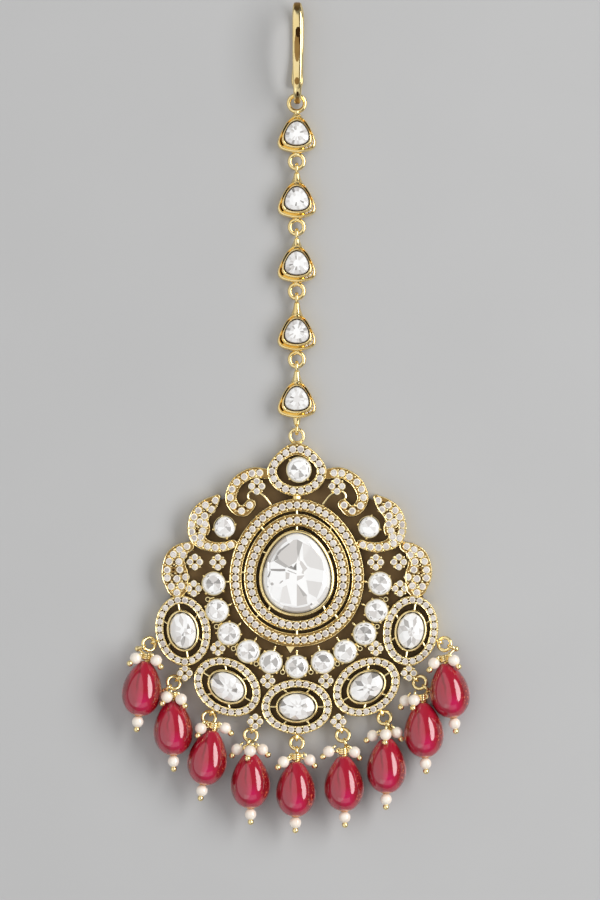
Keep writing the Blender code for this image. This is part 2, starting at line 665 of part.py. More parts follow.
def build_station(number, group):
    """One setting of the chain with the ring or loop soldered at each end, and its stone."""
    y = STATION_Y[number]

    def edge_at(share):
        return moved(station_edge(share), 0.0, y)

    setting = lofted(f"station_setting_{number + 1}",
                     [(edge_at(share), height) for share, height in STATION_WALL])
    bodies = [setting]
    upright = (math.pi / 2, 0.0, math.pi / 2)
    if number == 0:
        bodies.append(ring_of_wire("hook_ring", (0, HOOK_RING_Y, THREAD_Z), HOOK_RING_RADIUS,
                                   CHAIN_RING_WIRE))
        neck_end = HOOK_RING_Y - HOOK_RING_RADIUS
    else:
        loop_y = STATION_Y[number - 1] - RING_DROP - CHAIN_RING_RADIUS
        bodies.append(ring_of_wire("loop", (0, loop_y, THREAD_Z), LOOP_RADIUS, LOOP_WIRE, upright, sides=8))
        neck_end = loop_y - LOOP_RADIUS
    bodies.append(wire("neck", ((0, y + NECK_REACH, THREAD_Z), (0, neck_end, THREAD_Z)), NECK_RADIUS))
    if number < len(STATION_Y) - 1:
        bodies.append(ring_of_wire("ring", (0, y - RING_DROP, THREAD_Z), CHAIN_RING_RADIUS, CHAIN_RING_WIRE))
        foot_end = y - RING_DROP + CHAIN_RING_RADIUS
    else:
        loop_y = TOP_RING_AT[1] + TOP_RING_RADIUS
        bodies.append(ring_of_wire("loop", (0, loop_y, THREAD_Z), LOOP_RADIUS, LOOP_WIRE, upright, sides=8))
        foot_end = loop_y + LOOP_RADIUS
    bodies.append(wire("foot", ((0, y - NECK_REACH, THREAD_Z), (0, foot_end, THREAD_Z)), NECK_RADIUS))
    joined(setting.name, bodies, group, GOLD)

    def stone_at(share):
        return edge_at(STATION_STONE * share)

    cut_stone(f"station_stone_{number + 1}", stone_at, STATION_SEAT_Z, *STATION_STONE_HEIGHTS, group)


def build_hook(group):
    """A flat ribbon bent back on itself; its plan is drawn in Y and Z and given its width along X."""
    curve = bpy.data.curves.new("hair_hook", "CURVE")
    curve.dimensions = "2D"
    curve.fill_mode = "NONE"
    curve.extrude = HOOK_HALF_WIDTH - HOOK_HALF_THICKNESS
    curve.bevel_depth = HOOK_HALF_THICKNESS
    curve.bevel_resolution = 1
    curve.use_fill_caps = True
    spline = curve.splines.new("POLY")
    route = smooth_route(HOOK_ROUTE, 1)
    spline.points.add(len(route) - 1)
    for point, at in zip(spline.points, route):
        point.co = (at.x * MM, at.y * MM, 0, 1)
        point.radius = at.z
    item = bpy.data.objects.new("hair_hook", curve)
    item.rotation_euler = (math.pi / 2, 0.0, math.pi / 2)
    bpy.context.scene.collection.objects.link(item)
    bpy.context.view_layer.update()
    hook = settle(item)
    hook.name = "hair_hook"
    return finish(hook, group, GOLD)


# ---------------------------------------------------------------- fringe

def drop_profile():
    """Radius and height down a drop: a narrow neck, full shoulders and a round foot."""
    rows = []
    for share in DROP_STATIONS:
        if share < DROP_WIDEST:
            swell = math.sin(math.pi / 2 * (share / DROP_WIDEST) ** DROP_SWELL)
            radius = DROP_NECK + (1 - DROP_NECK) * swell
        else:
            fall = (share - DROP_WIDEST) / (1 - DROP_WIDEST)
            radius = math.sqrt(1 - fall ** 2)
        rows.append((radius * DROP_RADIUS, -share * DROP_LENGTH))
    rows.append((DROP_FOOT_RADIUS, -DROP_LENGTH))
    return rows


def top_of_drop(drop):
    return Vector((drop.x, drop.y)) * MM - heading(drop.lean) * DROP_LENGTH / 2


def build_drop(number, drop, group):
    """One red drop, turned round its length, with its bore through."""
    rows = drop_profile() + [(DROP_BORE, -DROP_LENGTH), (DROP_BORE, 0.0)]
    profile = bmesh.new()
    corners = [profile.verts.new((radius, 0.0, height)) for radius, height in rows]
    for first, second in zip(corners, corners[1:] + corners[:1]):
        profile.edges.new((first, second))
    mesh = bpy.data.meshes.new(f"ruby_drop_{number}")
    profile.to_mesh(mesh)
    profile.free()
    item = bpy.data.objects.new(f"ruby_drop_{number}", mesh)
    item.location = (*top_of_drop(drop), DROP_AXIS_Z)
    item.rotation_euler = (-math.pi / 2, 0.0, math.radians(drop.lean))
    turn = item.modifiers.new("turned", "SCREW")
    turn.steps = DROP_SIDES
    turn.render_steps = DROP_SIDES
    turn.use_merge_vertices = True
    turn.merge_threshold = WELD
    group.objects.link(item)
    return finish(item, group, RUBY)


def jump_ring_bodies(number, drop):
    """The ring through a drop's eye, its far side raised, and the pin's loop that hangs on it.

    Also gives the point where the pin leaves its loop.
    """
    way = heading(drop.eye_bearing)
    bearing = math.atan2(way.y, way.x)
    flat = JUMP_RING_RADIUS * math.cos(JUMP_RING_PITCH)
    rise = JUMP_RING_RADIUS * math.sin(JUMP_RING_PITCH)
    ring_at = Vector((drop.eye_x, drop.eye_y)) * MM + way * (EYE_STAND + flat)
    ring = ring_of_wire(f"drop_hanger_{number}", (*ring_at, THREAD_Z + rise), JUMP_RING_RADIUS,
                        JUMP_RING_WIRE, (0.0, -JUMP_RING_PITCH, bearing))
    loop_at = ring_at + way * (flat + PIN_LOOP_RADIUS / 2)
    loop_z = THREAD_Z + 2 * rise
    loop = ring_of_wire("pin_loop", (*loop_at, loop_z), PIN_LOOP_RADIUS, PIN_LOOP_WIRE,
                        (math.pi / 2, 0.0, bearing), sides=7)
    return [ring, loop], Vector((*(loop_at + way * PIN_LOOP_RADIUS), loop_z))


def build_hanger(number, drop, group):
    """Jump ring, pins, pearls and gold balls that hang one drop, joined along their wire."""
    top = Vector((*top_of_drop(drop), DROP_AXIS_Z))
    down = heading(drop.lean).to_3d()
    bodies, loop_end = jump_ring_bodies(number, drop)
    gather = top - down * GATHER_RISE - Vector((0, 0, GATHER_SINK))
    pearl_end = top + down * (DROP_LENGTH + PEARL_HALF_LENGTH + PEARL_GAP)
    ball_end = pearl_end + down * (PEARL_HALF_LENGTH + BALL_RADIUS * 0.5)
    bodies.append(wire("pin", (loop_end, gather, top - down * PEARL_GAP, pearl_end), PIN_WIRE))
    pearl = pearl_body("end_pearl", pearl_end, (-math.pi / 2, 0.0, math.radians(drop.lean)))
    pearl.scale.z = PEARL_HALF_LENGTH / PEARL_RADIUS
    bodies += [pearl, ball_body("end_ball", ball_end)]
    for place in drop.pearls:
        middle = Vector((place.x, place.y, place.z)) * MM
        bodies.append(pearl_body("pearl", middle))
        bodies.append(wire("side_pin", (gather, middle), PIN_WIRE * 0.85))
        if place.ball_bearing is not None:
            tip = middle + heading(place.ball_bearing).to_3d() * BALL_REACH
            if middle.z > top.z + PEARL_RADIUS:
                tip.z += FRONT_BALL_RISE
            bodies.append(ball_body("ball", tip))
    return joined(bodies[0].name, bodies, group, GOLD)


def build_fringe(group):
    for number, drop in enumerate(DROPS, start=1):
        build_drop(number, drop, group)
        build_hanger(number, drop, group)


def main():
    clear_scene()
    group = collection("maang_tikka")
    build_hook(group)
    for number in range(len(STATION_Y)):
        build_station(number, group)
    build_stones(group)
    build_fringe(group)
    build_pendant(group)


main()
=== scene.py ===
"""Looks of a maang tikka: polished gold, white foil-backed stones, pearls and red glass drops.

The ornament lies face up. X runs across, Y runs up the chain towards the hook and Z rises from the back.
Sizes inside the classes are in millimetres; a mesh is brought to metres when it is made.
"""

import logging
import math
from collections.abc import Callable, Sequence
from dataclasses import dataclass, field, replace
from enum import Enum, IntEnum

import bmesh
import bpy
import numpy as np
from mathutils import Matrix, Vector
from mathutils.geometry import delaunay_2d_cdt


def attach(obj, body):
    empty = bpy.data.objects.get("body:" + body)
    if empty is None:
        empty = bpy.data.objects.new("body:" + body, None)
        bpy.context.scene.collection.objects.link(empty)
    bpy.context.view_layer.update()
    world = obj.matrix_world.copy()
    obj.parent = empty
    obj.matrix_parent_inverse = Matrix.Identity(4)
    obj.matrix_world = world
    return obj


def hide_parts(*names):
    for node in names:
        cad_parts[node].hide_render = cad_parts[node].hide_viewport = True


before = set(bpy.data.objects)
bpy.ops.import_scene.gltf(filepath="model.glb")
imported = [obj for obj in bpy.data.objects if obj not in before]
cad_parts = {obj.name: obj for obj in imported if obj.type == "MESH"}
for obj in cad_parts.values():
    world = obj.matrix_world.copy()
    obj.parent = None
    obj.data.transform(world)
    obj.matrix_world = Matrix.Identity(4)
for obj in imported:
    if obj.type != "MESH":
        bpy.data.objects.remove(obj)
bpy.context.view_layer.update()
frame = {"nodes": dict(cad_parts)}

LOG = logging.getLogger("maang_tikka")
MM = 0.001
WELD = 1e-7
FULL_TURN = 2 * math.pi
HEADING_STEP = 0.05
BLACK = (0.0, 0.0, 0.0)
WHITE = (1.0, 1.0, 1.0)
UP = np.array((0.0, 0.0, 1.0))
Socket = bpy.types.NodeSocket
Array = np.ndarray
Line = np.ndarray
Outline = Callable[[Array], Array]


# ---- finishes


class Gold(IntEnum):
    """Places of the gold finishes in a goldwork piece's material list.

    The near-black and the dim finishes are painted light: painted shade on inner walls, feet, hollows, sunk
    beds and lips, and painted reflections on the hook.
    """

    POLISHED = 0
    SATIN = 1
    PAINTED_DARK = 2
    PAINTED_DIM = 3


class Stone(IntEnum):
    """Places of the facet tones in a stone piece's material list.

    The tones are painted reflections: each stands for the light or dark that a facet mirrors over its foil.
    """

    WHITE = 0
    PALE = 1
    FOIL = 2
    GREY = 3
    STEEL = 4
    SMOKE = 5


class Slot(str, Enum):
    """Material slots of the record."""

    GOLD = "gold"
    CLEAR = "clear_stone"
    PAVE = "pave_stone"
    RUBY = "ruby_red"
    PEARL = "pearl"


class Shader:
    """A small hand for building one node material."""

    def __init__(self, name: str) -> None:
        """Start a material with one Principled shader.

        Args:
            name: the material's name.
        """
        self.material = bpy.data.materials.new(name)
        self.material.use_nodes = True
        self.tree = self.material.node_tree
        self.principled = self.tree.nodes["Principled BSDF"]

    def set(self, **values: float | tuple) -> None:
        """Set sockets of the Principled shader; an underscore in a name stands for a space."""
        for name, value in values.items():
            self.principled.inputs[name.replace("_", " ")].default_value = value

    def node(self, kind: str, **settings: object) -> bpy.types.Node:
        """Add a node.

        Args:
            kind: the node's type without its ShaderNode prefix.
            settings: its properties.

        Returns:
            The new node.
        """
        made = self.tree.nodes.new("ShaderNode" + kind)
        for name, value in settings.items():
            setattr(made, name, value)
        return made

    def link(self, out: Socket, into: Socket | str) -> None:
        """Link a socket to another, or to a socket of the Principled shader by name."""
        end = self.principled.inputs[into] if isinstance(into, str) else into
        self.tree.links.new(out, end)

    def noise(self, scale: float, detail: float = 3.0) -> Socket:
        """Noise on object coordinates.

        Args:
            scale: lumps per metre.
            detail: octaves.

        Returns:
            The noise's factor socket.
        """
        places = self.node("TexCoord")
        lumps = self.node("TexNoise")
        lumps.inputs["Scale"].default_value = scale
        lumps.inputs["Detail"].default_value = detail
        self.link(places.outputs["Object"], lumps.inputs["Vector"])
        return lumps.outputs["Fac"]

    def ramp(self, factor: Socket, stops: Sequence[tuple[float, tuple]]) -> Socket:
        """A colour ramp over a factor.

        Args:
            factor: what the ramp reads.
            stops: pairs of place and colour, in order.

        Returns:
            The ramp's colour socket.
        """
        made = self.node("ValToRGB")
        elements = made.color_ramp.elements
        while len(elements) < len(stops):
            elements.new(0.5)
        for element, (place, colour) in zip(elements, stops):
            element.position = place
            element.color = (*colour, 1.0)
        self.link(factor, made.inputs["Fac"])
        return made.outputs["Color"]

    def spread(self, factor: Socket, low: float, high: float,
               start: float = 0.0, end: float = 1.0) -> Socket:
        """Map a factor from start..end to low..high and give the result's socket."""
        made = self.node("MapRange", clamp=True)
        for name, value in (("From Min", start), ("From Max", end), ("To Min", low), ("To Max", high)):
            made.inputs[name].default_value = value
        self.link(factor, made.inputs["Value"])
        return made.outputs["Result"]

    def mix(self, factor: Socket | float, first: Socket | tuple,
            second: Socket | tuple, blend: str = "MIX") -> Socket:
        """Mix two colours.

        Args:
            factor: a socket or a number.
            first: a socket or a colour.
            second: a socket or a colour.
            blend: the blending mode.

        Returns:
            The mixed colour's socket.
        """
        made = self.node("Mix", data_type="RGBA", blend_type=blend)
        for value, into in ((factor, made.inputs[0]), (first, made.inputs[6]), (second, made.inputs[7])):
            if isinstance(value, Socket):
                self.link(value, into)
            elif isinstance(value, tuple):
                into.default_value = (*value, 1.0)
            else:
                into.default_value = value
        return made.outputs[2]

    def attribute(self, name: str) -> Socket:
        """The number stored on the mesh under a name."""
        return self.node("Attribute", attribute_name=name).outputs["Fac"]

    def bump(self, height: Socket, distance: float, strength: float = 1.0) -> None:
        """Raise the surface by a height socket over a distance in metres."""
        made = self.node("Bump")
        made.inputs["Distance"].default_value = distance
        made.inputs["Strength"].default_value = strength
        self.link(height, made.inputs["Height"])
        self.link(made.outputs["Normal"], "Normal")


@dataclass(frozen=True)
class MetalFinish:
    """Gold plate: a warm colour that varies softly, and a polish that varies with it.

    Attributes:
        name: the material's name.
        colour: the plate's colour.
        worn: the colour it drifts towards.
        polish: roughness where it is best and worst polished.
        lump: lumps of the drift per metre.
        patterned: whether the colour drifts at all.
    """

    name: str
    colour: tuple
    worn: tuple
    polish: tuple
    lump: float = 260.0
    patterned: bool = True

    def material(self) -> bpy.types.Material:
        """Build the node material."""
        shader = Shader(self.name)
        shader.set(Metallic=1.0)
        drift = shader.noise(self.lump)
        if self.patterned:
            shader.link(shader.ramp(drift, ((0.35, self.colour), (0.72, self.worn))), "Base Color")
        else:
            shader.set(Base_Color=(*self.colour, 1.0))
        shader.link(shader.spread(drift, *self.polish, start=0.3, end=0.75), "Roughness")
        return shader.material


@dataclass(frozen=True)
class FacetFinish:
    """One tone of a foil-backed facet: polished glass whose colour is a painted reflection over its foil.

    Attributes:
        name: the material's name.
        colour: the painted reflection seen in the facet.
        roughness: the polish of the facet.
        ior: how strongly the surface mirrors at a slant.
    """

    name: str
    colour: tuple
    roughness: float
    ior: float = 1.9

    def material(self) -> bpy.types.Material:
        """Build the node material."""
        shader = Shader(self.name)
        shader.set(Base_Color=(*self.colour, 1.0), IOR=self.ior, Coat_Weight=0.35, Coat_Roughness=0.03)
        polish = shader.spread(shader.noise(900.0), self.roughness, self.roughness * 2.2, start=0.35, end=0.7)
        shader.link(polish, "Roughness")
        return shader.material


@dataclass(frozen=True)
class PearlFinish:
    """Cream pearl with a pinkish lustre and a faintly uneven skin."""

    name: str = "pearl_nacre"
    cream: tuple = (1.0, 0.93, 0.82)
    blush: tuple = (0.90, 0.75, 0.63)

    def material(self) -> bpy.types.Material:
        """Build the node material."""
        shader = Shader(self.name)
        cloud = shader.noise(700.0, 2.0)
        shader.link(shader.ramp(cloud, ((0.35, self.cream), (0.75, self.blush))), "Base Color")
        shader.set(Roughness=0.24, IOR=1.55, Coat_Weight=0.6, Coat_Roughness=0.08, Coat_IOR=1.6,
                   Sheen_Weight=0.2, Sheen_Tint=(1.0, 0.82, 0.78, 1.0))
        shader.bump(shader.noise(1600.0, 2.0), 0.00003, 0.5)
        return shader.material


@dataclass(frozen=True)
class RubyFinish:
    """Red glass whose tone is drawn along each drop's own length and width.

    The tone follows two numbers stored on the mesh: across, from the left edge to the right, and along, from
    the neck to the foot. Silky streaks run down the left. The rest is painted light: both edges are painted
    darkest red as their shade, a soft painted reflection lies low on the left, a painted magenta glow low in
    the middle, painted red-gold glints near the right edge, a painted lit line at both edges, and a painted
    gold glow round the bore at the foot.

    Attributes:
        name: the material's name.
        deep, body, streak: the darkest red, painted as the shade of both edges and beside the streaks, the
            glass's own, and the lightest of the streaks.
        dust, glow, ember: the painted reflection, the painted magenta glow and the painted red-gold glints.
        rim, gold: the painted lit line at both edges and the painted gold glow in the bore.
        seed_scale: specks per metre.
    """

    name: str = "ruby_glass"
    deep: tuple = (0.23, 0.002, 0.008)
    body: tuple = (0.41, 0.005, 0.026)
    streak: tuple = (0.45, 0.018, 0.048)
    painted_reflection: tuple = (0.39, 0.018, 0.044)
    glow: tuple = (0.56, 0.008, 0.085)
    painted_glints: tuple = (0.66, 0.12, 0.06)
    rim: tuple = (0.72, 0.24, 0.25)
    gold: tuple = (0.72, 0.30, 0.10)
    seed_scale: float = 2600.0

    def patch(self, shader: Shader, across: Socket, along_: Socket,
              sides: tuple, ends: tuple) -> Socket:
        """A soft-edged share: one inside both spans and nothing outside them.

        Args:
            shader: the material being built.
            across: the number from edge to edge.
            along_: the number from neck to foot.
            sides: four places across, where the share starts, is full, ends being full and is gone.
            ends: the same along.

        Returns:
            The share's socket.
        """
        spans = [shader.ramp(factor, tuple(zip(places, (BLACK, WHITE, WHITE, BLACK))))
                 for factor, places in ((across, sides), (along_, ends))]
        return shader.mix(1.0, *spans, "MULTIPLY")

    def material(self) -> bpy.types.Material:
        """Build the node material."""
        shader = Shader(self.name)
        across = shader.attribute("across")
        along_ = shader.attribute("along")
        wander = shader.node("Math", operation="MULTIPLY_ADD")
        wander.inputs[1].default_value = 0.14
        shader.link(shader.noise(420.0, 4.0), wander.inputs[0])
        shader.link(across, wander.inputs[2])
        # darkest red towards both edges: painted shade; the streaks down the left are the glass's own
        colour = shader.ramp(wander.outputs[0], (
            (0.10, self.deep), (0.19, self.deep), (0.24, self.body), (0.41, self.body), (0.45, self.deep),
            (0.50, self.streak), (0.62, self.body), (0.82, self.body), (0.92, self.deep)))
        # painted reflection: a soft lighter patch low on the left
        reflection_share = self.patch(shader, wander.outputs[0], along_, (0.15, 0.26, 0.47, 0.53),
                           (0.42, 0.62, 0.84, 0.95))
        colour = shader.mix(reflection_share, colour, self.painted_reflection)
        # painted glow: magenta light low in the middle
        glowing = self.patch(shader, across, along_, (0.38, 0.5, 0.6, 0.78), (0.52, 0.7, 0.8, 0.93))
        colour = shader.mix(glowing, colour, self.glow)
        # painted glints: red-gold specks near the right edge
        glint_share = shader.ramp(shader.noise(self.seed_scale, 2.0), ((0.58, BLACK), (0.66, WHITE)))
        edge = shader.ramp(across, ((0.74, BLACK), (0.86, WHITE), (0.95, WHITE), (0.98, BLACK)))
        colour = shader.mix(shader.mix(1.0, glint_share, edge, "MULTIPLY"), colour, self.painted_glints)
        # painted lit line along both edges
        rim = shader.ramp(across, ((0.012, WHITE), (0.035, BLACK), (0.965, BLACK), (0.988, WHITE)))
        colour = shader.mix(rim, colour, self.rim)
        # painted gold glow round the bore at the foot
        bore = shader.ramp(along_, ((0.95, BLACK), (0.985, WHITE)))
        shader.link(shader.mix(bore, colour, self.gold), "Base Color")
        shader.set(Roughness=0.09, IOR=1.55, Coat_Weight=0.85, Coat_Roughness=0.05, Subsurface_Weight=0.15,
                   Subsurface_Radius=(1.0, 0.12, 0.2), Subsurface_Scale=0.001)
        return shader.material


@dataclass(frozen=True)
class ShadeSheetFinish:
    """A dark sheet that stands for the shade seen through the openwork (painted shade): dull, with a faint
    drift and a fine grain.
    """

    name: str = "painted_shade_sheet"
    colour: tuple = (0.25, 0.155, 0.060)
    worn: tuple = (0.19, 0.11, 0.038)

    def material(self) -> bpy.types.Material:
        """Build the node material."""
        shader = Shader(self.name)
        shader.link(shader.ramp(shader.noise(300.0), ((0.35, self.colour), (0.7, self.worn))), "Base Color")
        shader.link(shader.spread(shader.noise(900.0), 0.45, 0.62), "Roughness")
        shader.set(Metallic=0.4)
        shader.bump(shader.noise(4000.0), 0.00002, 0.4)
        return shader.material


@dataclass(frozen=True)
class FloorFinish:
    """A plain pale grey surface with the faintest unevenness."""

    name: str = "plain_floor"
    light: tuple = (0.505, 0.505, 0.505)
    dark: tuple = (0.495, 0.495, 0.495)

    def material(self) -> bpy.types.Material:
        """Build the node material."""
        shader = Shader(self.name)
        shader.link(shader.ramp(shader.noise(40.0), ((0.3, self.dark), (0.7, self.light))), "Base Color")
        shader.set(Roughness=0.8, Specular_IOR_Level=0.15)
        return shader.material


@dataclass
class Palette:
    """Every material of the ornament, made once and shared.

    Attributes:
        gold, plain_gold: the gold finishes in the order of Gold, drifting in colour, and even for fine work.
        polki, pave: the tones of large and of small stones, in the order of Stone.
        pearl, ruby, back: one material each; back is the dark sheet of painted shade under the openings.
    """

    gold: list
    plain_gold: list
    polki: list
    pave: list
    pearl: list
    ruby: list
    back: list

    @classmethod
    def mixed(cls) -> "Palette":
        """Build all the materials."""
        tints = (
            ("gold_polished", (0.98, 0.80, 0.41), (0.94, 0.71, 0.30), (0.13, 0.21)),
            ("gold_satin", (0.92, 0.70, 0.31), (0.80, 0.56, 0.20), (0.24, 0.36)),
            # near-black and dim gold: painted shade in hollows, on walls and beds, and painted reflections on
            # the hook
            ("gold_painted_dark", (0.065, 0.030, 0.008), (0.032, 0.014, 0.004), (0.36, 0.52)),
            ("gold_painted_dim", (0.40, 0.24, 0.075), (0.28, 0.15, 0.042), (0.26, 0.42)),
        )
        drifting = [MetalFinish(*tint).material() for tint in tints]
        steady = [MetalFinish(name + "_plain", *rest, patterned=False).material() for name, *rest in tints]
        facets = (("white", (0.96, 0.955, 0.945), 0.05), ("pale", (0.78, 0.76, 0.74), 0.05),
                  ("foil", (0.62, 0.59, 0.565), 0.05), ("grey", (0.43, 0.41, 0.39), 0.07),
                  ("steel", (0.29, 0.275, 0.26), 0.08), ("smoke", (0.15, 0.14, 0.13), 0.10))
        grains = (("white", (0.98, 0.95, 0.91), 0.08), ("pale", (0.70, 0.655, 0.62), 0.08),
                  ("foil", (0.585, 0.53, 0.50), 0.08), ("grey", (0.46, 0.41, 0.385), 0.12),
                  ("steel", (0.27, 0.22, 0.20), 0.14), ("smoke", (0.12, 0.085, 0.065), 0.18))
        polki = [FacetFinish("polki_" + name, tone, shine).material() for name, tone, shine in facets]
        pave = [FacetFinish("pave_" + name, tone, shine).material() for name, tone, shine in grains]
        return cls(drifting, steady, polki, pave, [PearlFinish().material()], [RubyFinish().material()],
                   [ShadeSheetFinish().material()])


# ---- surfaces


@dataclass(frozen=True)
class Patch:
    """Part of a mesh in millimetres.

    Attributes:
        points: (n, 3) places.
        faces: (m, 4) corners of each face; a triangle has -1 in its last place.
        finish: (m,) the place of each face's material in the piece's list.
        marks: named (n,) numbers stored on the points.
    """

    points: Array
    faces: Array
    finish: Array
    marks: dict = field(default_factory=dict)

    def volume(self) -> float:
        """Signed volume: a sixth of the sum, over triangles, of the corners' triple products."""
        a, b, c = (self.points[self.faces[:, i]] for i in (0, 1, 2))
        total = np.einsum("ij,ij->", a, np.cross(b, c))
        four = self.faces[self.faces[:, 3] >= 0]
        a, b, c = (self.points[four[:, i]] for i in (0, 2, 3))
        return float(total + np.einsum("ij,ij->", a, np.cross(b, c))) / 6

    def outward(self) -> "Patch":
        """The same closed patch with its faces pointing outwards."""
        if self.volume() >= 0:
            return self
        turned = self.faces[:, ::-1].copy()
        triangles = self.faces[:, 3] < 0
        turned[triangles] = self.faces[triangles][:, [2, 1, 0, 3]]
        return replace(self, faces=turned)

    def moved(self, way: Sequence[float]) -> "Patch":
        """The same patch moved by x, y and z."""
        return replace(self, points=self.points + np.asarray(way))

    def flipped_left(self) -> "Patch":
        """The patch mirrored in X, still pointing outwards."""
        return replace(self, points=self.points * np.array((-1.0, 1.0, 1.0))).outward()


def stacked(patches: Sequence[Patch]) -> Patch:
    """Put patches together as one.

    Args:
        patches: the patches, which share the names of their marks.

    Returns:
        One patch with all their points and faces.
    """
    starts = np.cumsum([0] + [len(p.points) for p in patches[:-1]])
    faces = [np.where(p.faces >= 0, p.faces + start, -1) for p, start in zip(patches, starts)]
    marks = {name: np.concatenate([p.marks[name] for p in patches]) for name in patches[0].marks}
    return Patch(np.concatenate([p.points for p in patches]), np.concatenate(faces),
                 np.concatenate([p.finish for p in patches]), marks)


def repeated(patch: Patch, places: Array, turns: Array | float = 0.0,
             sizes: Array | float = 1.0, finishes: Array | None = None) -> Patch:
    """Set one patch at many places: each point becomes place + size * (point turned about Z).

    Args:
        patch: the shape, about the origin.
        places: (k, 3) places.
        turns: an angle in radians, or one for each.
        sizes: a scale, or one for each.
        finishes: (k, m) finishes of every face of every copy.

    Returns:
        All the copies as one patch.
    """
    count = len(places)
    turns, sizes = np.broadcast_to(turns, count), np.broadcast_to(sizes, count)
    cos, sin = np.cos(turns), np.sin(turns)
    x, y, z = patch.points.T
    spun = np.stack([np.outer(cos, x) - np.outer(sin, y), np.outer(sin, x) + np.outer(cos, y),
                     np.outer(np.ones(count), z)], axis=-1)
    points = places[:, None, :] + spun * sizes[:, None, None]
    faces = patch.faces[None] + (np.arange(count) * len(patch.points))[:, None, None]
    faces = np.where(patch.faces[None] >= 0, faces, -1)
    finish = np.tile(patch.finish, count) if finishes is None else finishes.ravel()
    return Patch(points.reshape(-1, 3), faces.reshape(-1, 4), finish)


def grid(points: Array, wrap_rows: bool = False, wrap_columns: bool = True,
         finish: int | Array = 0, caps: bool = False) -> Patch:
    """Join a grid of points with four-sided faces.

    Args:
        points: (rows, columns, 3) places.
        wrap_rows: whether the last row joins the first.
        wrap_columns: whether the last column joins the first.
        finish: one finish, or one for each face, in rows.
        caps: whether a fan from its middle closes the first and the last row.

    Returns:
        The patch, facing outwards where it is closed.
    """
    rows, columns = points.shape[:2]
    row, column = np.meshgrid(np.arange(rows - (not wrap_rows)), np.arange(columns - (not wrap_columns)),
                              indexing="ij")
    below, beside = (row + 1) % rows, (column + 1) % columns
    corners = (row * columns + column, row * columns + beside, below * columns + beside,
               below * columns + column)
    faces = np.stack(corners, axis=-1).reshape(-1, 4)
    tones = np.broadcast_to(np.asarray(finish), row.shape).reshape(-1).astype(int)
    flat = points.reshape(-1, 3)
    if caps:
        around = np.column_stack([np.arange(columns), (np.arange(columns) + 1) % columns])
        first_fan = widened(around[:, ::-1], len(flat), -1)
        last_fan = widened(around + (rows - 1) * columns, len(flat) + 1, -1)
        flat = np.concatenate([flat, points[:1].mean(axis=1), points[-1:].mean(axis=1)])
        faces = np.concatenate([faces, first_fan, last_fan])
        tones = np.concatenate([tones, np.repeat(tones[[0, -1]], columns)])
    return Patch(flat, faces, tones).outward()


def angles(count: int) -> Array:
    """Equally spaced angles of one full turn, from 0."""
    return np.arange(count) * FULL_TURN / count


def widened(places: Array, *columns: float | Array) -> Array:
    """Places with more columns, such as a height: each one number for all of them, or one for each."""
    return np.column_stack([places, *(np.broadcast_to(column, len(places)) for column in columns)])


def unit(vectors: Array) -> Array:
    """Vectors brought to length one."""
    return vectors / np.maximum(np.linalg.norm(vectors, axis=-1, keepdims=True), 1e-12)


def left_of(run: Array) -> Array:
    """Directions of the plan turned left by a quarter turn."""
    return np.stack([-run[..., 1], run[..., 0]], axis=-1)


def distances(some: Line, others: Line) -> Array:
    """Distance of each of some places from each of others."""
    return np.linalg.norm(some[:, None] - others[None], axis=-1)


def smooth(knots: Sequence | Array, steps: int) -> Line:
    """A Catmull-Rom curve through knots.

    Each span is half of 2b + (c - a)t + (2a - 5b + 4c - d)t^2 + (3b - a - 3c + d)t^3 for its four knots.

    Args:
        knots: (k, n) knots.
        steps: points to a span.

    Returns:
        ((k - 1) * steps + 1, n) points.
    """
    knots = np.asarray(knots, float)
    knots = np.concatenate([2 * knots[:1] - knots[1:2], knots, 2 * knots[-1:] - knots[-2:-1]])
    a, b, c, d = (knots[i:len(knots) - 3 + i, None, :] for i in range(4))
    t = (np.arange(steps) / steps)[None, :, None]
    square, cube = 2 * a - 5 * b + 4 * c - d, 3 * b - a - 3 * c + d
    spans = 0.5 * (2 * b + (c - a) * t + square * t ** 2 + cube * t ** 3)
    return np.concatenate([spans.reshape(-1, knots.shape[1]), knots[-2:-1]])


def smooth_loop(half: Sequence, steps: int = 6) -> Line:
    """A smooth closed line, the same on both sides, from its right half given top to bottom.

    Args:
        half: x and y of the knots, the first and the last on the middle line.
        steps: points to a span.

    Returns:
        The line, counterclockwise from its top.
    """
    right = np.asarray(half, float)
    knots = np.concatenate([right[:1], right[1:-1] * (-1.0, 1.0), right[:0:-1]])
    wrapped = np.concatenate([knots[-1:], knots, knots[:2]])
    return smooth(wrapped, steps)[steps:steps * (len(knots) + 1)]


def along(line: Line, count: int, start: float = 0.0) -> tuple[Array, Array]:
    """Places at equal distances along a closed line.

    The running length is the sum of the chords, and each place is read off it by straight interpolation.

    Args:
        line: (n, 2) points.
        count: how many places.
        start: share of a step by which the places are shifted.

    Returns:
        (count, 2) places and (count,) headings.
    """
    path = np.concatenate([line, line[:1]])
    length = np.concatenate([[0.0], np.cumsum(np.linalg.norm(np.diff(path, axis=0), axis=1))])

    def read(way: Array) -> Line:
        """Places at running lengths."""
        return np.stack([np.interp(way % length[-1], length, path[:, i]) for i in range(2)], axis=-1)

    at = (np.arange(count) + start) / count % 1.0 * length[-1]
    run = read(at + HEADING_STEP) - read(at - HEADING_STEP)
    return read(at), np.arctan2(run[:, 1], run[:, 0])


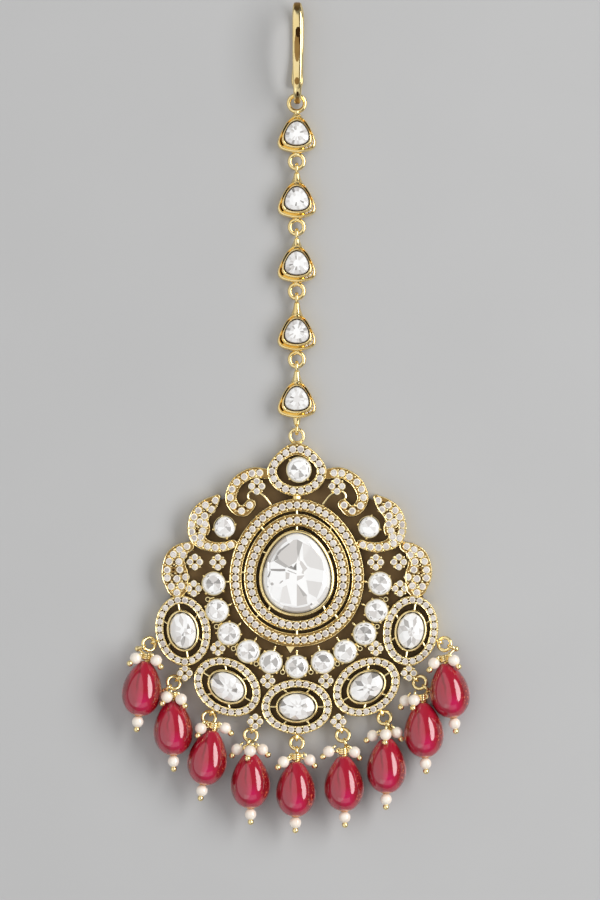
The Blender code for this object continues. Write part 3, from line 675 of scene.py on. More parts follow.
def tube(path: Array, radius: float | Array, sides: int = 8, reference: Sequence = (0, 0, 1),
         closed: bool = False, finish: int = 0) -> Patch:
    """A round wire along a path: point = path + radius * (side * cos + other * sin).

    Side is the path's run crossed with a reference direction, and other is the run crossed with side.

    Args:
        path: (n, 3) middle line.
        radius: one radius, or one for each point.
        sides: sides of its section.
        reference: a direction that the path never follows.
        closed: whether the path returns to its start.
        finish: the wire's finish.

    Returns:
        The wire, closed at its ends.
    """
    if closed:
        run = np.roll(path, -1, axis=0) - np.roll(path, 1, axis=0)
    else:
        run = np.gradient(path, axis=0)
    run = unit(run)
    side = unit(np.cross(run, np.asarray(reference, float)))
    other = np.cross(run, side)
    angle = angles(sides)
    thick = np.broadcast_to(radius, len(path))[:, None, None]
    ring = side[:, None] * np.cos(angle)[None, :, None] + other[:, None] * np.sin(angle)[None, :, None]
    return grid(path[:, None] + thick * ring, wrap_rows=closed, finish=finish, caps=not closed)


def ring(centre: Sequence, radius: float, wire: float, across: Sequence = (1, 0, 0), up: Sequence = (0, 1, 0),
         around: int = 28, sides: int = 8, finish: int = 0) -> Patch:
    """A ring of round wire: its middle line is centre + radius * (across * cos + up * sin)."""
    angle = angles(around)[:, None]
    first, second = np.asarray(across, float), np.asarray(up, float)
    path = np.asarray(centre, float) + radius * (np.cos(angle) * first + np.sin(angle) * second)
    return tube(path, wire, sides, np.cross(first, second), closed=True, finish=finish)


def ball(radius: float = 1.0, rows: int = 7, columns: int = 10, finish: int = 0) -> Patch:
    """A ball: each row is a circle of radius r sin(t) at height r cos(t)."""
    t = np.linspace(0.04, math.pi - 0.04, rows)[:, None]
    angle = angles(columns)[None]
    points = np.stack([np.sin(t) * np.cos(angle), np.sin(t) * np.sin(angle),
                       np.broadcast_to(np.cos(t), (rows, columns))], axis=-1)
    return grid(points * radius, finish=finish, caps=True)


# ---- outlines, as functions of an angle from +X that give (n, 2) places ----


def oval(x: float, y: float, wide: float, high: float, turn: float = 0.0) -> Outline:
    """An ellipse about x, y whose first axis is turned by an angle in degrees."""
    cos, sin = math.cos(math.radians(turn)), math.sin(math.radians(turn))

    def at(angle: Array) -> Array:
        """Places on the ellipse."""
        u, v = wide * np.cos(angle), high * np.sin(angle)
        return np.stack([x + u * cos - v * sin, y + u * sin + v * cos], axis=-1)
    return at


def egg(half_width: float, top: float, bottom: float, narrowing: float) -> Outline:
    """An oval narrowing to its top: x = w cos(a) (1 - n sin(a)) / widest, y = middle + half height sin(a)."""
    turns = np.linspace(0, FULL_TURN, 720)
    widest = np.max(np.cos(turns) * (1 - narrowing * np.sin(turns)))

    def at(angle: Array) -> Array:
        """Places on the egg."""
        x = half_width * np.cos(angle) * (1 - narrowing * np.sin(angle)) / widest
        return np.stack([x, (top + bottom) / 2 + (top - bottom) / 2 * np.sin(angle)], axis=-1)
    return at


def pear(x: float, y: float, wide: float, high: float, narrowing: float = 0.16) -> Outline:
    """An egg about x, y."""
    shape = egg(wide, high, -high, narrowing)

    def at(angle: Array) -> Array:
        """Places on the pear."""
        return shape(angle) + np.array((x, y))
    return at


def teardrop(inset: float, base: float = 13.0, tip: float = 22.15, middle: float = 17.3,
             half_width: float = 5.1) -> Outline:
    """The crown's outline: round below, and above drawn in by a factor of 1 - 0.34 sin(a)^1.5."""
    def at(angle: Array) -> Array:
        """Places on the teardrop."""
        rise = np.sin(angle)
        above = np.maximum(rise, 0.0)
        x = (half_width - inset) * np.cos(angle) * (1 - 0.34 * above ** 1.5)
        y = middle + np.where(rise > 0, (tip - inset * 1.25 - middle) * rise, (middle - base - inset) * rise)
        return np.stack([x, y], axis=-1)
    return at


def loop_of(outline: Outline, count: int) -> Line:
    """Count places round an outline, counterclockwise."""
    return outline(angles(count))


def shrunk(loop: Line, inset: float) -> Line:
    """A closed counterclockwise line moved inwards: each place steps inset along the run turned left."""
    run = unit(np.roll(loop, -1, axis=0) - np.roll(loop, 1, axis=0))
    return loop + inset * left_of(run)


def levels(loops: Sequence[Line], heights: Sequence[float | Array]) -> Array:
    """Closed lines brought to their heights, as the rows of a grid."""
    return np.stack([widened(loop, z) for loop, z in zip(loops, heights)])


def tapered(edge: Line, middle: Sequence[float], steps: Sequence[tuple[float, float]]) -> Array:
    """Rows of a grid: an edge scaled about a middle, by a share and to a height for each step."""
    return levels([middle + (edge - middle) * share for share, _ in steps], [z for _, z in steps])


def tone_rows(tones: Sequence[int | Array], count: int) -> Array:
    """Finishes of a grid of faces: for each row one for all of its count faces, or one for each."""
    return np.stack([np.broadcast_to(np.asarray(tone, int), count) for tone in tones])


def layered(loops: Sequence[Line], heights: Sequence[float], finish: int | Sequence[int] = 0) -> Patch:
    """A body through closed lines of equally many places, one above or inside another.

    Args:
        loops: the lines.
        heights: the height of each.
        finish: one finish, or one for each step between lines.

    Returns:
        The body, closed by a fan below and above.
    """
    steps = np.broadcast_to(np.asarray(finish, int), len(loops) - 1)
    return grid(levels(loops, heights), finish=tone_rows(steps, len(loops[0])), caps=True)


def faceted(outline: Outline, tiers: Sequence[tuple[float, float, float]], sides: int, culet: float,
            rng: np.random.Generator, tones: Sequence[float]) -> Patch:
    """A rose-cut stone: rings of corners, each turned half a step from the last, joined by triangles.

    Two triangles that share a side of a ring form one kite and take one tone.

    Args:
        outline: the girdle's outline.
        tiers: for each ring its share of the outline, its height, and its lean: the ring's middle moves to
            the lower right by lean * (1 - share).
        sides: corners of each ring.
        culet: height of the point under the stone.
        rng: the source of the tones.
        tones: chance of each tone, in the order of Stone.

    Returns:
        The closed stone.
    """
    middle = loop_of(outline, 24).mean(axis=0)
    rings = []
    for number, (share, height, lean) in enumerate(tiers):
        at = outline((np.arange(sides) + 0.5 * number) * (FULL_TURN / sides))
        at = middle + (at - middle) * share + np.array((lean, -lean)) * (1 - share)
        rings.append(widened(at, height))
    apex = rings[-1].mean(axis=0) + (0, 0, 0.08)
    points = np.concatenate(rings + [[apex], [[*middle, culet]]])
    around = np.arange(sides)
    after = (around + 1) % sides
    triangles, tone = [], []
    kites = rng.choice(len(tones), size=(len(rings) + 1, sides), p=np.asarray(tones) / np.sum(tones))
    for k in range(len(rings) - 1):
        low, high = k * sides, (k + 1) * sides
        triangles += [(low + around, low + after, high + around), (high + after, high + around, low + after)]
        tone += [kites[k], kites[k + 1]]
    last = (len(rings) - 1) * sides
    triangles += [(last + around, last + after, np.full(sides, len(points) - 2)),
                  (after, around, np.full(sides, len(points) - 1))]
    tone += [kites[-1], np.full(sides, Stone.GREY)]
    faces = np.concatenate([np.column_stack(corners) for corners in triangles])
    return Patch(points, widened(faces, -1), np.concatenate(tone)).outward()


def brilliant() -> Patch:
    """A small round stone of radius 1: a white collar, a ring half in shade, and a flat table.

    Its rows are circles from the point below, out to the girdle and in to the table.
    """
    sides = 10
    steps = ((0.12, -0.6), (1.0, -0.08), (0.66, 0.16), (0.56, 0.18))
    shade = np.where(np.arange(sides) < sides // 2, Stone.STEEL, Stone.FOIL)
    shade[1:3] = Stone.SMOKE
    points = tapered(loop_of(oval(0, 0, 1, 1), sides), (0, 0), steps)
    stone = grid(points, finish=tone_rows([Stone.WHITE, Stone.WHITE, shade], sides), caps=True)
    stone.finish[-sides:] = Stone.GREY
    return stone


def round_cut(outline: Outline, heights: tuple[float, float], rng: np.random.Generator,
              shaded: float = 1.0) -> Patch:
    """A stone with a white collar, small dark marks inside it, and a fan of grey and white wedges.

    Its rows are the outline scaled from the seat, out to the girdle and in to the table. Each wedge is three
    facets wide, and the fan that closes the middle is turned on by one facet.

    Args:
        outline: the girdle's outline.
        heights: of the girdle and of the table.
        rng: the source of the tones.
        shaded: how much of the fan and of the marks is grey.

    Returns:
        The closed stone.
    """
    wedges, width = 8, 3
    sides = wedges * width
    edge = loop_of(outline, sides)
    low, high = heights
    steps = ((0.4, 1.4), (1.0, low), (0.95, low + 0.3), (0.84, low + 0.55), (0.75, high - 0.12),
             (0.64, high), (0.25, high + 0.03))
    marks = rng.choice((Stone.WHITE, Stone.GREY, Stone.STEEL), size=sides,
                       p=(1 - 0.28 * shaded, 0.16 * shaded, 0.12 * shaded))
    inside = rng.choice((Stone.WHITE, Stone.PALE), size=sides, p=(0.6, 0.4))
    chances = np.array((0.25, 0.25, 0.2, 0.2 * shaded, 0.1 * shaded)) / (0.7 + 0.3 * shaded)
    fan = np.repeat(rng.choice(len(chances), size=wedges, p=chances), width)
    tones = tone_rows([Stone.WHITE] * 3 + [marks, inside, fan], sides)
    stone = grid(tapered(edge, edge.mean(axis=0), steps), finish=tones, caps=True)
    stone.finish[-sides:] = np.roll(fan, 1)
    return stone


# ---- making pieces


def numbered(stem: str, count: int, digits: int = 1) -> list[str]:
    """Names that end in their number, counted from 1."""
    return [f"{stem}_{number:0{digits}d}" for number in range(1, count + 1)]


def placed(name: str, data: bpy.types.ID) -> bpy.types.Object:
    """Make an object of a mesh, a camera or a light and put it into the scene."""
    made = bpy.data.objects.new(name, data)
    bpy.context.scene.collection.objects.link(made)
    return made


def make_piece(name: str, patch: Patch, materials: list, nodes: Sequence[str] = (),
               smooth_under: float | None = 40.0) -> bpy.types.Object:
    """Make a mesh object from a patch, set it under the root body and hide the CAD parts it stands for.

    Args:
        name: the piece's name.
        patch: its surface, in millimetres.
        materials: its materials, in the order of the patch's finishes.
        nodes: the CAD nodes it stands for.
        smooth_under: edges flatter than this angle in degrees are shaded smooth; None shades every face flat.

    Returns:
        The object.
    """
    mesh = bpy.data.meshes.new(name)
    loops = patch.faces[patch.faces >= 0]
    corners = np.where(patch.faces[:, 3] < 0, 3, 4)
    mesh.vertices.add(len(patch.points))
    mesh.loops.add(len(loops))
    mesh.polygons.add(len(corners))
    mesh.vertices.foreach_set("co", (patch.points * MM).ravel())
    mesh.loops.foreach_set("vertex_index", loops.astype(np.int32))
    mesh.polygons.foreach_set("loop_start", np.concatenate([[0], np.cumsum(corners)[:-1]]).astype(np.int32))
    mesh.polygons.foreach_set("material_index", patch.finish.astype(np.int32))
    mesh.update(calc_edges=True)
    for mark, values in patch.marks.items():
        mesh.attributes.new(mark, "FLOAT", "POINT").data.foreach_set("value", values.astype(np.float32))
    body = bmesh.new()
    body.from_mesh(mesh)
    bmesh.ops.remove_doubles(body, verts=body.verts, dist=WELD)
    body.to_mesh(mesh)
    body.free()
    for material in materials:
        mesh.materials.append(material)
    if smooth_under is None:
        mesh.shade_flat()
    else:
        mesh.shade_smooth()
        mesh.set_sharp_from_angle(angle=math.radians(smooth_under))
    piece = placed(name, mesh)
    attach(piece, "root")
    if nodes:
        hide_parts(*nodes)
    LOG.info("%s: %d faces", name, len(mesh.polygons))
    return piece


# ---- hook


@dataclass
class HairHook:
    """The rounded ribbon hook that holds the ornament in the hair.

    Attributes:
        half_width: half of the ribbon's width.
        half_thickness: half of its thickness.
        route: y, z and relative width along its middle line, from the curl round the ring to the free end.
        steps, sides: points to a span of the route, and sides of the section.
        bunching: how far the section's sides crowd towards its four corners, in radians.
        shift, lean: how far the ribbon stands to the right, and how much further the free leg does.
        leg: height under which the ribbon turns into the free leg and over what height, and the y over which
            it starts to lean and over what length.
        painted_dark_reflections: painted reflections, dim and near-black places along its front: y, place
            across, half length, half width, and finish.
        front: height above which the painted reflections lie.
    """

    half_width: float = 0.85
    half_thickness: float = 0.48
    route: tuple = ((80.1, 0.9, 0.6), (79.95, 2.1, 0.65), (80.6, 3.5, 0.75), (82.3, 4.7, 0.85),
                    (85.2, 5.45, 0.95), (88.6, 5.8, 1.0), (92.2, 5.85, 1.0), (94.6, 5.5, 1.0), (96.0, 4.5, 0.9),
                    (96.25, 3.2, 0.7), (95.8, 1.8, 0.9), (94.5, 0.8, 1.0), (92.2, 0.52, 1.0), (88.0, 0.52, 1.0),
                    (84.8, 0.62, 1.15), (83.3, 0.8, 1.2), (82.3, 0.9, 0.8))
    steps: int = 30
    sides: int = 64
    bunching: float = 0.43
    shift: float = 0.1
    lean: float = 0.26
    leg: tuple = (3.2, 2.4, 84.5, 5.0)
    painted_dark_reflections: tuple = ((80.2, 0.0, 0.7, 0.6, 3), (81.35, 0.05, 0.35, 0.32, 2), (83.3, -0.1, 0.6, 0.55, 3),
                   (86.85, 0.15, 0.22, 0.16, 2), (88.9, -0.05, 2.5, 0.56, 3), (90.4, 0.45, 1.2, 0.14, 2),
                   (91.4, 0.15, 0.85, 0.55, 2), (95.9, -0.05, 1.1, 0.7, 3))
    front: float = 1.5

    def tones(self, line: Array, share: Array) -> Array:
        """Finish of every face: a painted reflection's where (distance / length)^2 + ((u - middle) / width)^2 <
        1.
        """
        tones = np.full((len(line) - 1, len(share)), Gold.POLISHED)
        # painted reflections: the dim and near-black finishes stand for what the polished front mirrors
        for y, place, length, width, tone in self.painted_dark_reflections:
            near = ((line[:-1, :1] - y) / length) ** 2 + ((share[None] - place) / width) ** 2 < 1
            tones[near & (line[:-1, 1:2] > self.front)] = tone
        return tones

    def surface(self) -> Patch:
        """The ribbon: its section is a rounded box |u|^3.6 + |v|^2.2 = 1 carried along the route."""
        line = smooth(self.route, self.steps)
        level, sink, start, rise = self.leg
        back = np.clip((level - line[:, 1]) / sink, 0, 1) * np.clip((line[:, 0] - start) / rise, 0, 1)
        middle = np.column_stack([self.shift + self.lean * back, line[:, 0], line[:, 1]])
        across = np.array((1.0, 0.0, 0.0))
        normal = unit(np.cross(unit(np.gradient(middle, axis=0)), across))
        turn = (np.arange(self.sides) + 0.5) * FULL_TURN / self.sides
        angle = turn + self.bunching * np.sin(2 * turn)
        u = np.sign(np.cos(angle)) * np.abs(np.cos(angle)) ** 0.55
        v = np.sign(np.sin(angle)) * np.abs(np.sin(angle)) ** 0.9
        wide = (self.half_width * line[:, 2])[:, None, None]
        thick = (self.half_thickness * (0.55 + 0.45 * line[:, 2]))[:, None, None]
        points = middle[:, None] + wide * u[:, None] * across + thick * v[:, None] * normal[:, None]
        return grid(points, finish=self.tones(line, (u + np.roll(u, -1)) / 2), caps=True)

    def build(self, palette: Palette) -> None:
        """Make the hook."""
        make_piece("hair_hook_ribbon", self.surface(), palette.gold, ("hair_hook",), 50.0)


# ---- chain


@dataclass
class StationChain:
    """Five rounded-triangle settings joined by rings, each with a rose-cut stone.

    Attributes:
        middles: y of each setting's middle.
        half_edge: the right half of a setting's edge, from its soft point down to its foot.
        stone_edge: the same of its stone.
        stone_line: the share that stands for the stone's edge; 1 stands for the setting's edge.
        wall: sections of a setting: share between those edges, height, how far it sinks in a groove and the
            finish of the step above it.
        grooves: where grooves lie round the edge, counterclockwise from its point, and how long they are.
        groove_shows: the sink of a section, and the depth of a groove there, past which it is painted dark as
            its shade.
        ring_drop: from a setting's middle to the ring under it.
        thread: height at which rings and loops lie.
        hook_ring: y and radius of the ring that the hook passes.
        chain_ring, loop: radius and wire of a ring that lies flat, and of a loop that stands upright.
        top_ring_loop: y of the last setting's loop, which passes the pendant's ring.
        top_neck, foot_neck: where a cone starts from a setting's middle, and its radius there and at its end.
        stone_share: share of the stones' own edge.
        crown: rows of a stone, as share of its edge and height.
        chances: chance of each tone of a stone's facets, in the order of Stone.
        flank: the small stones in the lower right groove: place round the edge, turn and size.
        rng_seed: seed of the facets' tones.
    """

    middles: tuple = (74.3, 63.2, 52.3, 40.7, 29.3)
    half_edge: tuple = ((0.0, 3.45), (0.85, 3.1), (1.75, 2.15), (2.55, 0.75), (3.1, -0.45), (3.3, -1.5),
                        (2.85, -2.35), (1.6, -2.85), (0.0, -3.1))
    stone_edge: tuple = ((0.0, 2.25), (0.75, 2.02), (1.32, 1.5), (1.78, 0.72), (2.0, -0.1), (1.92, -0.85),
                         (1.45, -1.36), (0.75, -1.63), (0.0, -1.7))
    stone_line: float = 0.6
    wall: tuple = ((0.90, 0.0, 0.0, 1), (0.97, 0.3, 0.0, 0), (1.0, 0.8, 0.0, 0), (1.0, 1.4, 0.0, 0),
                   (0.99, 1.9, 0.0, 0), (0.972, 2.18, 0.0, 0), (0.94, 2.32, 0.0, 0), (0.90, 2.37, 0.0, 0),
                   (0.862, 2.32, 0.1, 0), (0.84, 2.2, 0.5, 2), (0.82, 2.12, 0.62, 2), (0.80, 2.2, 0.5, 0),
                   (0.78, 2.5, 0.1, 0), (0.755, 2.76, 0.0, 0), (0.725, 2.87, 0.0, 0), (0.69, 2.88, 0.0, 0),
                   (0.66, 2.76, 0.0, 3), (0.636, 2.4, 0.0, 2), (0.63, 1.75, 0.0, 2))
    grooves: tuple = ((0.155, 0.05), (0.31, 0.05), (0.66, 0.10), (0.86, 0.05))
    groove_shows: tuple = (0.4, 0.45)
    ring_drop: float = 4.5
    thread: float = 1.4
    hook_ring: tuple = (79.7, 1.375)
    chain_ring: tuple = (1.2, 0.37)
    loop: tuple = (0.75, 0.32)
    top_ring_loop: float = 24.35
    top_neck: tuple = (2.8, 1.1, 0.46)
    foot_neck: tuple = (-2.6, 0.85, 0.5)
    stone_share: float = 0.61
    crown: tuple = ((0.45, 1.8), (1.0, 2.55), (0.93, 2.95), (0.62, 3.35), (0.30, 3.48))
    chances: tuple = (0.62, 0.2, 0.1, 0.05, 0.03)
    flank: tuple = ((56, 0.2, 0.26), (60, 1.1, 0.3), (64, 2.3, 0.34), (68, 0.7, 0.32), (72, 1.9, 0.27))
    rng_seed: int = 12

    def edge(self, y: float, share: float) -> Line:
        """A line between the stone's edge, at the share stone_line, and the setting's edge, at 1."""
        inner, outer = smooth_loop(self.stone_edge), smooth_loop(self.half_edge)
        return inner + (outer - inner) * (share - self.stone_line) / (1 - self.stone_line) + np.array((0.0, y))

    def setting(self, y: float) -> Patch:
        """The cup: the edge scaled from foot to rim, into the grooves, over the inner lip and down.

        A groove's depth is exp(-(distance / length)^4) of its full one.
        """
        loops = [self.edge(y, share) for share, *_ in self.wall]
        turn = np.arange(len(loops[0])) / len(loops[0])
        at, long = np.array(self.grooves).T
        depth = np.exp(-((turn[:, None] - at) / long) ** 4).sum(axis=1)
        # painted shade: the deep parts of the grooves, the inner lip and the wall down to the stone take the
        # near-black and dim finishes
        tones = tone_rows([tone for *_, tone in self.wall[:-1]], len(turn))
        sink_shows, depth_shows = self.groove_shows
        sunk = np.array([sink for _, _, sink, _ in self.wall[:-1]]) > sink_shows
        tones[sunk] = np.where(depth > depth_shows, tones[sunk], Gold.POLISHED)
        return grid(levels(loops, [z - sink * depth for _, z, sink, _ in self.wall]), finish=tones, caps=True)

    def neck(self, y: float, end: float, start: float, thick: float, thin: float) -> Patch:
        """A cone along Y from a setting to its ring: radius = thin + (thick - thin) (1 - share)^1.6.

        Args:
            y: the setting's middle.
            end: y of the cone's end.
            start: where it starts, from the setting's middle.
            thick: its radius at its start.
            thin: its radius at its end.

        Returns:
            The cone.
        """
        share = np.linspace(0, 1, 9)[:, None]
        path = (0.0, y + start, self.thread) + share * (0.0, end - (y + start), 0.0)
        return tube(path, thin + (thick - thin) * (1 - share[:, 0]) ** 1.6, 14)

    def flank_stones(self, y: float, tiny: Patch) -> Patch:
        """Five small stones in the groove at the lower right."""
        place, turn, size = np.array(self.flank).T
        loop = self.edge(y, 0.84)[place.astype(int)]
        return repeated(tiny, widened(loop, 2.05), turn, size)

    def station(self, number: int) -> Patch:
        """One setting with the ring and loop soldered at its ends."""
        y = self.middles[number]
        flat = {"around": 40, "sides": 12}
        upright = {"across": (0, 1, 0), "up": (0, 0, 1), "sides": 12}
        if number == 0:
            at, radius = self.hook_ring
            upper = ring((0, at, self.thread), radius, self.chain_ring[1], **flat)
        else:
            at, radius = self.middles[number - 1] - self.ring_drop - self.chain_ring[0], self.loop[0]
            upper = ring((0, at, self.thread), *self.loop, **upright)
        top_neck = self.neck(y, at - radius, *self.top_neck)
        if number < len(self.middles) - 1:
            at, radius = y - self.ring_drop, self.chain_ring[0]
            lower = ring((0, at, self.thread), *self.chain_ring, **flat)
        else:
            at, radius = self.top_ring_loop, self.loop[0]
            lower = ring((0, at, self.thread), *self.loop, **upright)
        return stacked([self.setting(y), upper, top_neck, lower, self.neck(y, at + radius, *self.foot_neck)])

    def stone(self, y: float, rng: np.random.Generator) -> Patch:
        """The rose-cut triangle in a setting: its edge drawn inwards over a rounded crown to a small fan."""
        edge = self.edge(y, self.stone_share)[::4]
        tones = rng.choice(len(self.chances), size=(len(self.crown) - 1, len(edge)), p=self.chances)
        tones[:2] = Stone.WHITE
        tones[2, ::3] = Stone.PALE
        return grid(tapered(edge, (0.0, y + 0.2), self.crown), finish=tones, caps=True)

    def build(self, palette: Palette) -> None:
        """Make the settings and their stones."""
        rng = np.random.default_rng(self.rng_seed)
        tiny = brilliant()
        count = len(self.middles)
        for number, (name, node) in enumerate(zip(numbered("chain_setting", count),
                                                  numbered("station_setting", count))):
            make_piece(name, self.station(number), palette.gold, (node,), 50.0)
        stones = [self.stone(y, rng) for y in self.middles]
        stones += [self.flank_stones(y, tiny) for y in self.middles]
        nodes = numbered("station_stone", count)
        make_piece("chain_stones", stacked(stones), palette.polki, nodes, None)


# ---- pendant


RAIL = ((0.0, 0.42), (0.015, 0.16), (0.07, 0.03), (0.125, 0.0), (0.18, 0.03), (0.22, 0.14), (0.235, 0.30))
RAIL_TONES = [Gold.POLISHED] * (len(RAIL) - 1)
BED_SINK = 0.36
BAND_FOOT = 0.06


def railed_band(outer: Line, inner: Line, top: float, outer_wall: Array | int) -> Patch:
    """A paved band with a raised rounded rail on each edge.

    A place at distance d from an edge lies d along the straight line to the matching place of the other edge.
    The section runs up the outer wall, over the rail, across the sunk bed, over the other rail and down.

    Args:
        outer: the outer edge.
        inner: the inner edge.
        top: height of the rails.
        outer_wall: finish of the outer wall's faces, one or one for each.

    Returns:
        The band.
    """
    way = unit(inner - outer)
    rows = [(outer, BAND_FOOT)] + [(outer + way * d, top - sink) for d, sink in RAIL]
    rows += [(inner - way * d, top - sink) for d, sink in RAIL[::-1]] + [(inner, BAND_FOOT)]
    # the bed is dim gold and the inner wall and foot near-black: painted shade
    tones = [outer_wall, *RAIL_TONES, Gold.PAINTED_DIM, *RAIL_TONES, Gold.PAINTED_DARK, Gold.PAINTED_DARK]
    return grid(levels(*zip(*rows)), wrap_rows=True, finish=tone_rows(tones, len(outer)))


def open_band(route: Sequence, top: float, outer_wall: Callable[[Line], Array]) -> Patch:
    """A paved band with round ends that follows a route of x, y and half width.

    The outline is the route stepped aside by its half width, with half circles at the ends. The rail runs
    along it, and the bed and the foot close on the route itself.

    Args:
        route: its knots.
        top: height of the rail.
        outer_wall: gives the finish of the outer wall's faces for an outline.

    Returns:
        The band.
    """
    line = smooth(route, 6)
    run = unit(np.gradient(line[:, :2], axis=0))
    side = left_of(run)
    middle, half = line[:, :2], line[:, 2:]
    angle = np.linspace(0, math.pi, 9)[1:-1, None]
    front = middle[-1] + half[-1] * (side[-1] * np.cos(angle) + run[-1] * np.sin(angle))
    back = middle[0] + half[0] * (-side[0] * np.cos(angle) - run[0] * np.sin(angle))
    outline = np.concatenate([middle + side * half, front, (middle - side * half)[::-1], back])
    core = np.concatenate([middle, np.repeat(middle[-1:], len(front), axis=0), middle[::-1],
                           np.repeat(middle[:1], len(back), axis=0)])
    way = unit(core - outline)
    rows = [(core, BAND_FOOT), (outline, BAND_FOOT)] + [(outline + way * d, top - sink) for d, sink in RAIL]
    rows.append((core, top - BED_SINK))
    # the foot is near-black and the bed dim gold: painted shade
    tones = [Gold.PAINTED_DARK, outer_wall(outline), *RAIL_TONES, Gold.PAINTED_DIM]
    return grid(levels(*zip(*rows)), finish=tone_rows(tones, len(outline)))


def bezel(outline: Line, wall: float, bottom: float, top: float, seat: float) -> Patch:
    """A smooth collar: up its outer wall, over a round lip and down inside to the seat."""
    steps = ((0.0, bottom), (0.0, top - 0.5), (0.03, top - 0.2), (wall * 0.3, top - 0.04), (wall * 0.55, top),
             (wall * 0.85, top - 0.1), (wall, top - 0.35), (wall, seat))
    loops = [shrunk(outline, inset) for inset, _ in steps]
    # the collar's walls are near-black: painted shade
    tones = [Gold.PAINTED_DARK] + [Gold.POLISHED] * 5 + [Gold.PAINTED_DARK]
    return layered(loops, [height for _, height in steps], tones)


def bar(start: Sequence[float], end: Sequence[float], radius: float, height: float,
        finish: int = Gold.POLISHED) -> Patch:
    """A straight wire between two places of the plan, at a height."""
    return tube(widened(np.linspace(start, end, 3), height), radius, 8, finish=finish)


def bridge(inside: Outline, outside: Outline, angle: float, radius: float, height: float,
           bite: float) -> Patch:
    """A bar from an outline to one round it, at an angle in degrees, biting 0.2 into the inner one."""
    start, end = (outline(np.array([math.radians(angle)]))[0] for outline in (inside, outside))
    way = unit(end - start)
    return bar(start - 0.2 * way, end + bite * way, radius, height)


